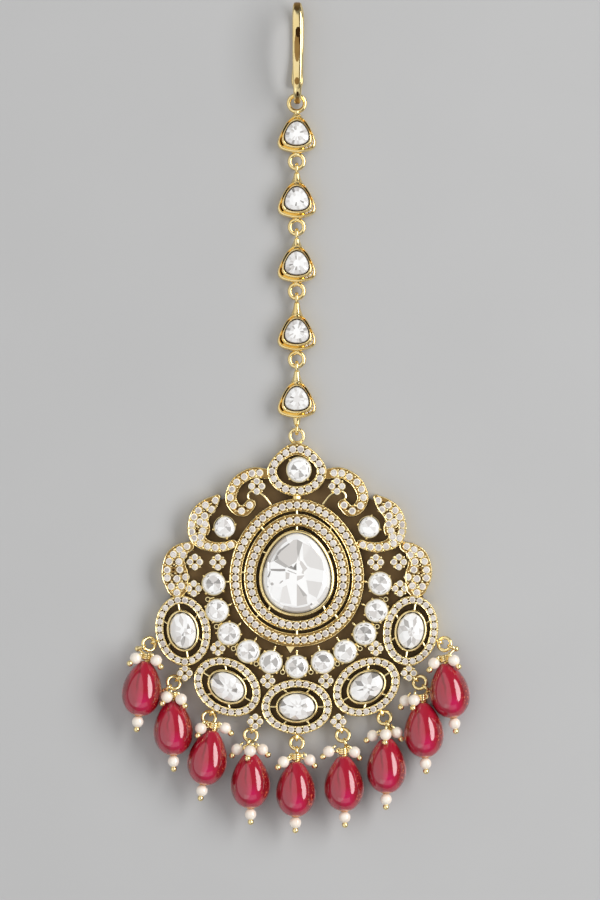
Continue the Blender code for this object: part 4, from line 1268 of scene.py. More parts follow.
@dataclass
class PendantFrame:
    """The gold pendant: paved bands, bezels, bridges, cups, curls and eyes over a dark sheet that stands for
    the shade seen through its openings (painted shade).

    An egg is given as half width, top, bottom and narrowing. The right half is given and mirrored, unless
    both sides are named.

    Attributes:
        hub, directions: the place the pendant's edge is measured from, and in how many directions.
        outer_ring, inner_ring: outer and inner egg of the paved rings.
        centre_bezel: the egg of the centre stone's collar.
        back_edge, back_top: the dark sheet's edge from its top down to its foot, and its height.
        ring_tops: heights of the outer and the inner ring.
        crown_band, crown_top: width and height of the crown's band.
        scroll, leaf, crescent: x, y and half width along each open band.
        band_tops: their heights.
        halos: x, y and turn of each oval halo, on both sides.
        halo_half, halo_band, halo_top: its outer half sizes, and its band's width and height.
        oval_bezel: half sizes of the collar in it.
        ring_bars: bearings from the top of the bars inside the inner ring, and of those round it.
        halo_bars: angles of the bars inside a halo.
        round_at, round_radius: middles of the round stones, on both sides, and their half size.
        crown_stone, side_stone: x, y and half sizes of the crown's stone and of the pear stone.
        cup: section of a small cup: distance from the stone's edge, and height.
        clusters: x, y and radius of each four-stone cluster.
        curl_routes: the wires at the foot of the crown and under its cluster.
        top_ring: x, y, radius and wire of the ring on top.
        thread: height at which rings and eyes lie.
        tab_corners: corners of the small triangle under the outer ring, on the left only.
    """

    hub: tuple = (0.0, -2.0)
    directions: int = 180
    outer_ring: tuple = ((11.45, 12.6, -12.6, 0.07), (9.35, 10.45, -10.25, 0.09))
    inner_ring: tuple = ((8.98, 10.05, -9.8, 0.09), (6.83, 7.84, -8.04, 0.11))
    centre_bezel: tuple = (6.4, 7.36, -7.36, 0.14)
    back_edge: tuple = ((0.0, 21.3), (2.8, 20.0), (4.5, 17.6), (7.6, 17.2), (10.6, 15.6), (12.1, 12.7),
                        (15.0, 12.0), (17.8, 9.6), (17.9, 5.4), (20.2, 4.4), (22.1, 2.0), (22.3, -0.8),
                        (21.4, -3.8), (23.2, -7.4), (22.9, -11.6), (20.0, -15.2), (18.3, -16.3),
                        (16.9, -19.2), (13.8, -22.5), (9.4, -23.7), (6.6, -24.6), (4.9, -25.2),
                        (2.6, -26.6), (0.0, -27.0))
    back_top: float = 0.35
    ring_tops: tuple = (2.8, 3.1)
    crown_band: float = 1.75
    crown_top: float = 2.75
    scroll: tuple = ((5.0, 16.8, 0.9), (7.6, 16.95, 0.95), (10.1, 15.4, 1.0), (11.2, 12.9, 1.0),
                     (10.5, 11.1, 1.0), (9.0, 10.5, 1.0), (7.85, 11.6, 0.95))
    leaf: tuple = ((13.5, 12.8, 0.55), (14.3, 11.95, 1.15), (15.3, 11.05, 1.45), (16.2, 10.1, 1.6),
                   (16.75, 8.9, 1.65), (16.6, 7.5, 1.95), (16.8, 6.3, 1.55), (16.2, 5.2, 1.15),
                   (15.0, 4.6, 0.95), (13.6, 4.35, 0.9), (12.1, 4.5, 0.85), (10.8, 4.95, 0.75))
    crescent: tuple = ((18.2, 4.5, 0.85), (19.5, 3.85, 1.25), (20.5, 2.7, 1.7), (20.8, 1.2, 2.05),
                       (20.65, -0.4, 2.3), (20.3, -2.2, 1.95))
    band_tops: tuple = (2.6, 2.65, 2.55)
    halos: tuple = ((-19.3, -9.8, -80.0), (-11.8, -19.3, -31.0), (0.0, -22.7, 0.0), (11.8, -19.3, 31.0),
                    (19.3, -9.8, 80.0))
    halo_half: tuple = (6.03, 4.7)
    halo_band: float = 1.5
    halo_top: float = 2.7
    oval_bezel: tuple = (3.6, 2.75)
    ring_bars: tuple = ((0, 62, 140, 220, 298), (0, 43, 90, 137, 180, 223, 270, 317))
    halo_bars: tuple = (0, 62, 118, 180, 242, 298)
    round_at: tuple = ((-14.1, -1.8), (-13.5, -6.4), (-11.5, -10.3), (-8.23, -13.3), (-4.42, -15.1),
                       (0.0, -15.9), (4.42, -15.1), (8.23, -13.3), (11.5, -10.3), (13.5, -6.4), (14.1, -1.8))
    round_radius: float = 1.93
    crown_stone: tuple = (0.35, 17.5, 2.05, 2.1)
    side_stone: tuple = (12.25, 7.8, 1.76, 1.8)
    cup: tuple = ((0.02, 0.3), (0.08, 1.2), (0.13, 2.0), (0.15, 2.55), (0.12, 2.68), (0.05, 2.68), (0.0, 2.5),
                  (-0.04, 1.3))
    clusters: tuple = ((6.8, 14.7, 1.25), (17.3, 1.85, 1.2), (13.4, 1.8, 1.2), (17.5, -2.65, 1.2),
                       (13.4, -12.8, 1.1), (4.95, -18.3, 1.1), (19.0, -17.0, 1.15), (7.05, -25.2, 1.15))
    curl_routes: tuple = (((6.4, 13.7), (5.6, 13.1), (5.0, 12.4), (4.4, 11.6)),
                          ((7.7, 13.9), (8.2, 13.4), (8.3, 12.8), (8.0, 12.4)),
                          ((6.8, 15.6), (6.7, 16.0), (6.6, 16.5)))
    top_ring: tuple = (0.0, 23.2, 1.15, 0.3)
    thread: float = 1.4
    tab_corners: tuple = ((-1.95, -12.5), (-1.1, -13.75), (-0.2, -12.55), (-1.05, -12.2))

    def halo_oval(self, halo: tuple[float, float, float], inset: float) -> Outline:
        """A halo's oval, inset from its outer edge."""
        x, y, turn = halo
        return oval(x, y, self.halo_half[0] - inset, self.halo_half[1] - inset, turn)

    def polar(self, places: Line) -> tuple[Array, Array]:
        """The number of each place's direction from the hub, and its distance from it."""
        away = places - np.array(self.hub)
        turn = np.arctan2(away[:, 1], away[:, 0]) / FULL_TURN + 1
        return (turn * self.directions).astype(int) % self.directions, np.linalg.norm(away, axis=1)

    def silhouette(self) -> Array:
        """Reach of the pendant's edge in each direction from the hub."""
        lines = [loop_of(teardrop(0.0), 90)] + [loop_of(self.halo_oval(halo, 0.0), 64) for halo in self.halos]
        for route in (self.scroll, self.leaf, self.crescent):
            line = smooth(route, 6)
            for sign in (-1, 1):
                lines.append(line[:, :2] * np.array((sign, 1.0)) * (1 + line[:, 2:] / 20))
        reach = np.zeros(self.directions)
        np.maximum.at(reach, *self.polar(np.concatenate(lines)))
        return np.maximum(reach, np.maximum(np.roll(reach, 1), np.roll(reach, -1)))

    def wall_finish(self, loop: Line) -> Array:
        """Satin within 0.9 of the pendant's outside edge, and near-black inside its openings, as painted shade.
        """
        bearing, distance = self.polar(loop)
        return np.where(distance > self.silhouette()[bearing] - 0.9, Gold.SATIN, Gold.PAINTED_DARK)

    def bands(self) -> list[Patch]:
        """Every paved band."""
        made = []
        for (outer, inner), top in zip((self.outer_ring, self.inner_ring), self.ring_tops):
            made.append(railed_band(loop_of(egg(*outer), 128), loop_of(egg(*inner), 128), top, Gold.PAINTED_DARK))
        crown = loop_of(teardrop(0.0), 96)
        made.append(railed_band(crown, loop_of(teardrop(self.crown_band), 96), self.crown_top,
                                self.wall_finish(crown)))
        for halo in self.halos:
            edge, inner = (loop_of(self.halo_oval(halo, inset), 64) for inset in (0.0, self.halo_band))
            made.append(railed_band(edge, inner, self.halo_top, self.wall_finish(edge)))
        for route, top in zip((self.scroll, self.leaf, self.crescent), self.band_tops):
            band = open_band(route, top, self.wall_finish)
            made += [band, band.flipped_left()]
        return made

    def bezels(self) -> list[Patch]:
        """The smooth collars of the centre stone and the oval stones."""
        made = [bezel(loop_of(egg(*self.centre_bezel), 128), 0.5, 0.0, 3.9, 2.0)]
        for x, y, turn in self.halos:
            made.append(bezel(loop_of(oval(x, y, *self.oval_bezel, turn), 64), 0.4, 0.0, 3.4, 1.8))
        return made

    def ring_bridges(self) -> list[Patch]:
        """The small bars that cross the two gaps round the centre."""
        gaps = ((self.centre_bezel, self.inner_ring[1], 2.75), (self.inner_ring[0], self.outer_ring[1], 2.6))
        return [bridge(egg(*inside), egg(*outside), 90 - bearing, 0.2, height, 0.2)
                for bearings, (inside, outside, height) in zip(self.ring_bars, gaps) for bearing in bearings]

    def halo_bridges(self) -> list[Patch]:
        """The small bars that carry each oval bezel inside its halo."""
        return [bridge(oval(x, y, *self.oval_bezel, turn), self.halo_oval((x, y, turn), self.halo_band), angle,
                       0.17, 2.35, 0.15) for x, y, turn in self.halos for angle in self.halo_bars]

    def small_cups(self) -> list[Patch]:
        """The thin closed cups of the round and pear stones, open above."""
        made = []
        lip = [Gold.SATIN, Gold.POLISHED, Gold.POLISHED, Gold.SATIN]
        # the cup's walls are near-black: painted shade
        tones = [Gold.PAINTED_DARK, Gold.PAINTED_DARK, *lip, Gold.PAINTED_DARK]
        for x, y, wide, high in self.seats():
            loops = [loop_of(oval(x, y, wide - 0.02 + d, high - 0.02 + d), 32) for d, _ in self.cup]
            made.append(layered(loops, [height for _, height in self.cup], tones))
        return made

    def seats(self) -> list[tuple[float, float, float, float]]:
        """Middle and half sizes of every cup."""
        x, y, wide, high = self.side_stone
        rounds = [(rx, ry, self.round_radius, self.round_radius) for rx, ry in self.round_at]
        return rounds + [self.crown_stone, (x, y, wide, high), (-x, y, wide, high)]

    def prongs(self) -> Patch:
        """Small round-headed prongs at the edge of every cup, four to a cup, square to its bearing."""
        claw = layered([loop_of(oval(0, 0, r, r), 8) for r in (0.16, 0.2, 0.24, 0.2, 0.1)],
                       (-1.6, -0.1, 0.08, 0.22, 0.3))
        places = []
        for x, y, wide, high in self.seats():
            turn = math.atan2(y, x) + math.radians(45) + angles(4)
            places.append(widened(oval(x, y, wide + 0.17, high + 0.17)(turn), 2.85))
        return repeated(claw, np.concatenate(places))

    def curls(self) -> list[Patch]:
        """Small wire curls between the round stones, and beaded pins that tie them to the outer ring."""
        at = np.array(self.round_at)
        between = (at[1:] + at[:-1]) / 2
        made = []
        for middle, way in zip(between, unit(between)):
            made.append(ring((*(middle + way * 1.35), 2.25), 0.36, 0.13, around=18, sides=6))
            made.append(bar(middle + way * 0.2, middle + way * 1.0, 0.15, 2.3))
        for middle, way in zip(at, unit(at)):
            start = middle - way * (self.round_radius + 0.1)
            made.append(bar(start, start - way * 0.75, 0.17, 2.35))
            made.append(ball(0.26, 6, 9).moved((*(start - way * 0.4), 2.5)))
        return made

    def crown_work(self) -> list[Patch]:
        """The foot of the crown, the wires under the top clusters and the ring on top."""
        made = []
        for route in self.curl_routes:
            curl = tube(widened(smooth(route, 4), 2.15), 0.2, 8)
            made += [curl, curl.flipped_left()]
        made.append(bar((0, 13.6), (0, 12.2), 0.8, 1.6, Gold.SATIN))
        x, y, radius, wire = self.top_ring
        made.append(ring((x, y, self.thread), radius, wire, around=40, sides=12))
        made.append(bar((x, y - 2.2), (x, y - radius - 0.05), 0.45, self.thread))
        return made

    def shade_sheet(self) -> Patch:
        """A dark sheet under all the openwork: painted shade seen through the openings."""
        edge = smooth_loop(self.back_edge, 5)
        return layered([shrunk(edge, 0.05), edge, edge, shrunk(edge, 0.05)],
                       (0.0, 0.04, self.back_top - 0.05, self.back_top))

    def cluster_posts(self) -> list[Patch]:
        """The posts under the four-stone clusters."""
        made = []
        for x, y, radius in self.clusters:
            loops = [loop_of(oval(x, y, radius * share, radius * share), 24)
                     for share in (0.55, 0.72, 0.97, 1.0, 0.93, 0.86)]
            post = layered(loops, (0.1, 1.2, 2.0, 2.28, 2.34, 2.2),
                           # near-black under the post and dim gold on its seat: painted shade
                           [Gold.PAINTED_DARK, Gold.SATIN, Gold.POLISHED, Gold.POLISHED, Gold.PAINTED_DIM])
            made += [post, post.flipped_left()]
        return made

    def eyes(self, fringe: "Fringe") -> list[Patch]:
        """The upright loops soldered to the edge, one for each drop."""
        made = []
        for drop in fringe.drops:
            way = fringe.heading(drop.eye_bearing)
            at = np.array((drop.eye_x, drop.eye_y)) + way[:2] * fringe.eye_radius
            made.append(ring((*at, self.thread), 0.6, 0.28, across=way, up=(0, 0, 1), around=20))
            made.append(bar(at - way[:2] * 0.5, at - way[:2] * 1.3, 0.28, self.thread))
        return made

    def tab(self) -> Patch:
        """The small gold triangle under the outer ring."""
        corners = np.array(self.tab_corners)
        return layered([corners, corners, shrunk(corners, 0.16)], (1.2, 2.45, 2.62))

    def build(self, palette: Palette, fringe: "Fringe") -> None:
        """Make the goldwork."""
        parts = self.bands() + self.bezels() + self.ring_bridges() + self.halo_bridges() + self.small_cups()
        parts += self.crown_work() + self.curls() + self.cluster_posts() + self.eyes(fringe)
        parts += [self.prongs(), self.tab()]
        make_piece("pendant_goldwork", stacked(parts), palette.plain_gold, ("pendant_frame",))
        # a dark sheet of painted shade under the openings
        make_piece("pendant_painted_shade_sheet", self.shade_sheet(), palette.back)


# ---- paving


@dataclass
class Paving:
    """The hundreds of small round stones set into the bands, and the gold collars and grains that hold them.

    Attributes:
        frame: the goldwork the stones are set in.
        radius: radius of a stone in the crown; in the rings and the open bands it is 0.98 of it.
        grain: radius of a gold grain.
        ring_counts, crown_count: stones in the outer and the inner ring, and in the crown.
        halo_count, halo_radius: stones in a halo, and their radius.
        scroll_at, leaf_at, crescent_at: x and y of each stone in the right one of these bands.
        pitch: stones nearer than this are neighbours, with a grain at each side between them.
        aside, grain_gap: how far such a grain stands from its stones' line, and from the next grain.
        hollow: stones nearer than the first number get a dark dot of painted shade half way, if it is further
        than the second number from every stone.
        tables: chance of a pale, a foil-toned and a grey table.
        seed: seed of the tables' tones, the sizes and the turns.
        spots: x, y, height and radius of each stone laid out.
        beads, pits: places of the grains and of the dark dots, near-black balls that stand for the shade in the
            gaps (painted shade).
    """

    frame: PendantFrame
    radius: float = 0.62
    grain: float = 0.21
    ring_counts: tuple = (54, 42)
    crown_count: int = 18
    halo_count: int = 23
    halo_radius: float = 0.57
    scroll_at: tuple = ((6.3, 16.95), (7.6, 16.9), (8.9, 16.3), (10.2, 15.4), (11.0, 14.2), (11.3, 12.8),
                        (10.8, 11.4), (9.4, 10.5), (8.0, 11.5))
    leaf_at: tuple = ((13.8, 12.3), (15.5, 11.5), (16.7, 10.6), (17.45, 9.5), (17.9, 8.2), (17.85, 7.0),
                      (17.4, 5.9), (16.4, 5.0), (15.15, 4.5), (13.85, 4.3), (12.5, 4.4), (11.2, 4.75),
                      (14.45, 10.75), (15.65, 9.65), (16.45, 8.65), (15.55, 8.3), (15.95, 7.15), (16.3, 6.1))
    crescent_at: tuple = ((18.65, 4.5), (19.9, 3.95), (20.95, 3.15), (21.65, 1.95), (22.0, 0.5),
                          (22.0, -0.85), (21.3, -2.3), (19.25, 3.05), (20.0, 1.9), (19.85, 0.55),
                          (20.35, -1.0), (18.85, -0.7), (19.6, -2.2), (20.35, -3.35))
    pitch: float = 1.75
    aside: float = 0.56
    grain_gap: float = 0.3
    hollow: tuple = (2.6, 0.8)
    tables: tuple = (0.3, 0.45, 0.25)
    seed: int = 6
    spots: list = field(default_factory=list)
    beads: list = field(default_factory=list)
    shade_dots: list = field(default_factory=list)

    def row(self, line: Line, count: int, top: float, half: float, radius: float, start: float = 0.0) -> None:
        """Set a single closed row of stones, with a grain at each side between neighbours.

        Args:
            line: the band's middle line.
            count: how many stones.
            top: height of the band's rails.
            half: distance of the grains from the middle line.
            radius: radius of a stone.
            start: share of a step by which the row is shifted.
        """
        at, _ = along(line, count, start)
        self.spots.append(widened(at, top, radius))
        between, heading = along(line, count, start + 0.5)
        side = np.stack([-np.sin(heading), np.cos(heading)], axis=-1) * half
        for sign in (-1, 1):
            self.beads.append(widened(between + sign * side, top))
            self.shade_dots.append(widened(between + sign * side * 0.45, top))

    def field_of(self, places: Sequence, top: float, radius: float) -> None:
        """Set stones at given places and a grain in every hollow between them, on both sides.

        A grain stands half a pitch aside from the middle of each neighbouring pair, where no stone is.

        Args:
            places: x and y of each stone on the right-hand side.
            top: height of the band's rails.
            radius: radius of a stone.
        """
        at = np.asarray(places, float)
        first, second = np.triu_indices(len(at), 1)
        gap = np.linalg.norm(at[first] - at[second], axis=1)
        near = gap < self.pitch
        middle = (at[first] + at[second]) / 2
        span, clearance = self.hollow
        hollow = middle[(gap < span) & (distances(middle, at).min(axis=1) > clearance)]
        aside = left_of(unit((at[second] - at[first])[near])) * self.aside
        wanted = np.concatenate([middle[near] + aside, middle[near] - aside])
        wanted = wanted[distances(wanted, at).min(axis=1) > radius + 0.1]
        later = np.tril(distances(wanted, wanted) < self.grain_gap, -1).any(axis=1)
        wanted = wanted[~later]
        for sign in (-1, 1):
            flip = np.array((sign, 1.0))
            self.spots.append(widened(at * flip, top, radius))
            self.beads.append(widened(wanted * flip, top))
            self.shade_dots.append(widened(hollow * flip, top))

    def cluster(self, x: float, y: float, radius: float) -> None:
        """Four stones round a dark dot of painted shade, up, down, left and right, with a grain at each corner,
        on both sides.
        """
        for middle in (-x, x):
            at, grains = (oval(middle, y, radius * share, radius * share)(angles(4) + turn)
                          for share, turn in ((0.7, 0.0), (0.98, math.radians(45))))
            self.spots.append(widened(at, 2.5, radius * 0.44))
            self.beads.append(widened(grains, 2.5))
            self.shade_dots.append(np.array([[middle, y, 2.7]]))

    def lay_out(self) -> None:
        """Place every stone and grain."""
        work = self.frame
        for ring_, top, count in zip((work.outer_ring, work.inner_ring), work.ring_tops, self.ring_counts):
            line = sum(loop_of(egg(*edge), 256) for edge in ring_) / 2
            self.row(line, count, top, 0.66, self.radius * 0.98, 0.25)
        line = sum(loop_of(teardrop(inset), 180) for inset in (0.0, work.crown_band)) / 2
        self.row(line, self.crown_count, work.crown_top, 0.6, self.radius)
        for halo in work.halos:
            line = loop_of(work.halo_oval(halo, work.halo_band / 2), 160)
            self.row(line, self.halo_count, work.halo_top, 0.5, self.halo_radius, 0.5)
        for places, top in zip((self.scroll_at, self.leaf_at, self.crescent_at), work.band_tops):
            self.field_of(places, top, self.radius * 0.98)
        for cluster in work.clusters:
            self.cluster(*cluster)

    def build(self, palette: Palette) -> None:
        """Make the stones and the grains."""
        self.lay_out()
        rng = np.random.default_rng(self.seed)
        spots = np.concatenate(self.spots)
        stone = brilliant()
        table = rng.choice((Stone.PALE, Stone.FOIL, Stone.GREY), size=len(spots), p=self.tables)
        finishes = np.where(stone.finish[None] == Stone.GREY, table[:, None], stone.finish[None])
        places = spots[:, :3] - UP * 0.14
        sizes = spots[:, 3] * rng.uniform(0.95, 1.05, len(spots))
        stones = repeated(stone, places, rng.uniform(0, FULL_TURN, len(spots)), sizes, finishes)
        make_piece("pendant_pave_stones", stones, palette.pave, (), None)
        beads = np.concatenate(self.beads) + UP * 0.02
        collar = ring((0, 0, 0), 1.09, 0.15, around=12, sides=5)
        gold = [repeated(ball(self.grain, 5, 7), beads),
                repeated(collar, places - UP * 0.06, sizes=spots[:, 3])]
        # near-black balls sunk between the stones: painted shade in the gaps
        shade_dots = np.concatenate(self.shade_dots) - UP * 0.3
        gold.append(repeated(ball(0.25, 5, 8, Gold.PAINTED_DARK), shade_dots))
        make_piece("pendant_gold_grains", stacked(gold), palette.plain_gold)


# ---- large stones


@dataclass
class LargeStones:
    """The foil-backed stones of the pendant.

    Attributes:
        frame: the goldwork the stones are set in.
        centre: the centre stone's outline.
        table_heights: of the edge and the middle of its table.
        corners: corners of its edge.
        keel: rows under its table, as share of its edge and height.
        table_share, table_fall: share of its edge where the table starts, and how much the table falls over
            six millimetres from its middle.
        collar: shaded spans of its sloping collar, in degrees, and their tones; the rest is white.
        facets: flat facets of its table, each a tone and its corners, the tones painted reflections; a later
            one
        lies over an earlier one, and the rest of the table is white.
        oval_half, oval_tiers: half sizes of the halos' stones, and their rings of corners: share of the edge,
            height and lean.
        oval_chances: chance of each tone of their facets, in the order of Stone.
        round_heights: of a round stone's girdle and table.
        seed: seed of the smaller stones' tones.
    """

    frame: PendantFrame
    centre: tuple = (5.82, 6.82, -6.8, 0.16)
    table_heights: tuple = (4.15, 4.75)
    corners: int = 48
    keel: tuple = ((0.45, 2.15), (1.0, 3.3), (0.95, 3.8))
    table_share: float = 0.86
    table_fall: float = 0.55
    collar: tuple = ((112, 172, Stone.FOIL), (247, 287, Stone.FOIL), (300, 335, Stone.PALE))
    facets: tuple = (
        (Stone.PALE, (0.2, 2.2), (0.5, 5.3), (2.4, 4.6), (4.2, 2.4), (4.6, 0.4), (2.2, 1.0)),
        (Stone.PALE, (1.6, -1.2), (4.4, -1.6), (3.4, -4.2), (2.0, -3.4)),
        (Stone.WHITE, (-4.9, 1.9), (-5.0, -2.4), (-4.2, -4.3), (-2.2, -5.5), (0.0, -5.6), (0.0, -1.6),
         (-1.2, -1.1), (-2.0, 0.9)),
        (Stone.WHITE, (2.0, -5.2), (1.8, -3.7), (2.5, -3.9), (3.2, -4.6)),
        (Stone.WHITE, (0.5, 2.2), (0.7, 5.2), (1.0, 5.3), (1.1, 2.4), (1.9, 1.0)),
        (Stone.PALE, (-2.9, -4.9), (-2.4, -2.4), (-1.7, -2.0), (-0.9, -5.3)),
        (Stone.FOIL, (-3.4, 3.1), (-3.1, 2.35), (-1.4, 1.1), (-0.1, 1.9), (0.15, 2.6), (0.1, 5.7), (-0.6, 5.6),
         (-1.3, 5.0)),
        (Stone.GREY, (0.05, 5.7), (0.0, 4.2), (0.2, 2.6), (0.5, 3.6), (1.0, 5.2)),
        (Stone.STEEL, (-3.2, 3.0), (-2.6, 3.75), (-1.2, 4.9), (-1.3, 5.1), (-2.9, 3.95), (-3.45, 3.2)),
        (Stone.STEEL, (-3.9, 2.0), (-3.1, 2.4), (-3.2, 2.9), (-3.45, 3.15)),
        (Stone.GREY, (-3.8, 1.95), (-1.9, 0.92), (-1.3, 1.1), (-3.1, 2.4)),
        (Stone.STEEL, (-1.6, 0.95), (-0.6, 0.6), (-0.05, 0.45), (-0.05, 1.8), (-0.6, 1.0), (-0.9, 1.3)),
        (Stone.SMOKE, (-0.6, 0.72), (-0.1, 0.55), (-0.1, 1.6), (-0.5, 1.0)),
        (Stone.GREY, (-1.6, 0.38), (-0.05, -0.18), (-0.05, -0.05), (-1.5, 0.52)),
        (Stone.STEEL, (-4.45, 0.72), (-4.4, 0.42), (-2.9, 0.3), (-1.95, 0.35), (-1.95, 0.72)),
        (Stone.STEEL, (-4.42, 0.35), (-4.55, 0.35), (-5.0, -0.65), (-4.75, -0.75), (-4.5, -0.2)),
        (Stone.FOIL, (-1.9, 0.2), (-1.9, -1.1), (-1.3, -0.9), (-1.2, 0.0)),
        (Stone.GREY, (-4.5, -1.85), (-4.3, -2.1), (-4.0, -2.05), (-3.88, -1.8), (-4.1, -1.58), (-4.35, -1.6)),
        (Stone.GREY, (-5.02, -2.35), (-4.85, -2.45), (-4.76, -2.25), (-4.9, -2.15)),
        (Stone.GREY, (-3.0, -1.75), (-2.75, -1.75), (-2.3, -1.35), (-2.4, -1.2), (-2.7, -1.35)),
        (Stone.FOIL, (0.5, 1.6), (0.6, 2.1), (0.85, 2.0), (1.8, 0.8), (1.2, 0.2), (1.15, -0.2), (0.8, 0.0),
         (1.0, 0.6)),
        (Stone.FOIL, (0.0, -1.3), (0.05, -0.45), (1.3, -0.35), (0.9, -0.9)),
        (Stone.FOIL, (0.0, -1.75), (1.75, -3.75), (1.65, -4.3), (1.8, -5.2), (0.0, -5.6)),
        (Stone.GREY, (0.1, -1.95), (1.75, -3.75), (1.1, -3.95)),
        (Stone.GREY, (2.2, -5.3), (2.45, -5.5), (2.7, -5.25), (2.5, -5.0)),
    )
    oval_half: tuple = (3.2, 2.35)
    oval_tiers: tuple = ((1.0, 2.75, 0.0), (0.9, 3.3, 0.0), (0.58, 3.8, 0.1), (0.25, 4.05, 0.2))
    oval_chances: tuple = (0.6, 0.2, 0.12, 0.05, 0.03)
    round_heights: tuple = (2.72, 3.45)
    seed: int = 23

    def centre_crown(self) -> Patch:
        """The big stone: a keel, a narrow sloping collar and a nearly flat table cut into drawn facets.

        The table is the triangulation of its edge and the facets' corners; a corner's height falls with the
        square of its distance from the middle, as high - table_fall (distance / 6)^2.
        """
        shoulder, high = self.table_heights
        edge = loop_of(egg(*self.centre), self.corners)
        table = edge * self.table_share
        rows = tapered(edge, (0.0, 0.0), (*self.keel, (self.table_share, shoulder)))
        collar = self.collar_tones()
        keel = grid(rows, finish=tone_rows([Stone.PALE, collar, collar], self.corners), caps=True)
        corners = [Vector(place) for place in table]
        loops = [list(range(self.corners))]
        for _, *places in self.facets:
            x, y = np.array(places).T
            order = 1 if (x * np.roll(y, -1) - y * np.roll(x, -1)).sum() > 0 else -1
            loops.append(list(range(len(corners), len(corners) + len(places))))
            corners += [Vector(place) for place in places[::order]]
        flat, _, faces, _, _, sources = delaunay_2d_cdt(corners, [], loops, 1, 1e-4)
        places = np.array([tuple(place) for place in flat])
        height = high - self.table_fall * (np.linalg.norm(places, axis=1) / 6) ** 2
        on_edge = distances(places, table).min(axis=1) < 1e-3
        points = widened(places, np.where(on_edge, shoulder, height))
        tones = [int(self.facets[max(over) - 1][0] if max(over) else Stone.WHITE) for over in sources]
        crown = Patch(points, widened(np.array(faces), -1), np.array(tones))
        open_keel = Patch(keel.points[:-1], keel.faces[:-self.corners], keel.finish[:-self.corners])
        return stacked([open_keel, crown])

    def collar_tones(self) -> Array:
        """Tones round the sloping collar: shaded at the top left and along the foot, bright elsewhere."""
        bearing = np.degrees(angles(self.corners))
        tones = np.full(self.corners, Stone.WHITE)
        for start, end, tone in self.collar:
            tones[(bearing > start) & (bearing < end)] = tone
        return tones

    def build(self, palette: Palette) -> None:
        """Make the centre, oval, round and pear stones."""
        rng = np.random.default_rng(self.seed)
        make_piece("centre_polki", self.centre_crown(), palette.polki, ("centre_stone",), None)
        ovals = [faceted(oval(x, y, *self.oval_half, turn), self.oval_tiers, 11, 1.9, rng, self.oval_chances)
                 for x, y, turn in self.frame.halos]
        make_piece("oval_polki", stacked(ovals), palette.polki, numbered("oval_stone", len(ovals)),
                   None)
        seats = self.frame.seats()
        rounds = [round_cut(oval(*seat), self.round_heights, rng) for seat in seats[:-2]]
        rounds += [round_cut(pear(*seat), self.round_heights, rng, 0.2) for seat in seats[-2:]]
        nodes = numbered("round_stone", len(self.frame.round_at), 2)
        make_piece("round_polki", stacked(rounds[:len(nodes)]), palette.polki, nodes, None)
        make_piece("crown_and_side_polki", stacked(rounds[len(nodes):]), palette.polki,
                   ("crown_stone", "side_stone_left", "side_stone_right"), None)


# ---- fringe


@dataclass(frozen=True)
class Pearl:
    """One pearl of a cluster: its middle, and the way the gold ball at its foot lies, if it shows."""

    x: float
    y: float
    z: float
    ball: float | None = None


@dataclass(frozen=True)
class Drop:
    """A red drop: its middle, its lean, where its eye is soldered and points, and its pearls."""

    x: float
    y: float
    lean: float
    eye_x: float
    eye_y: float
    eye_bearing: float
    pearls: tuple


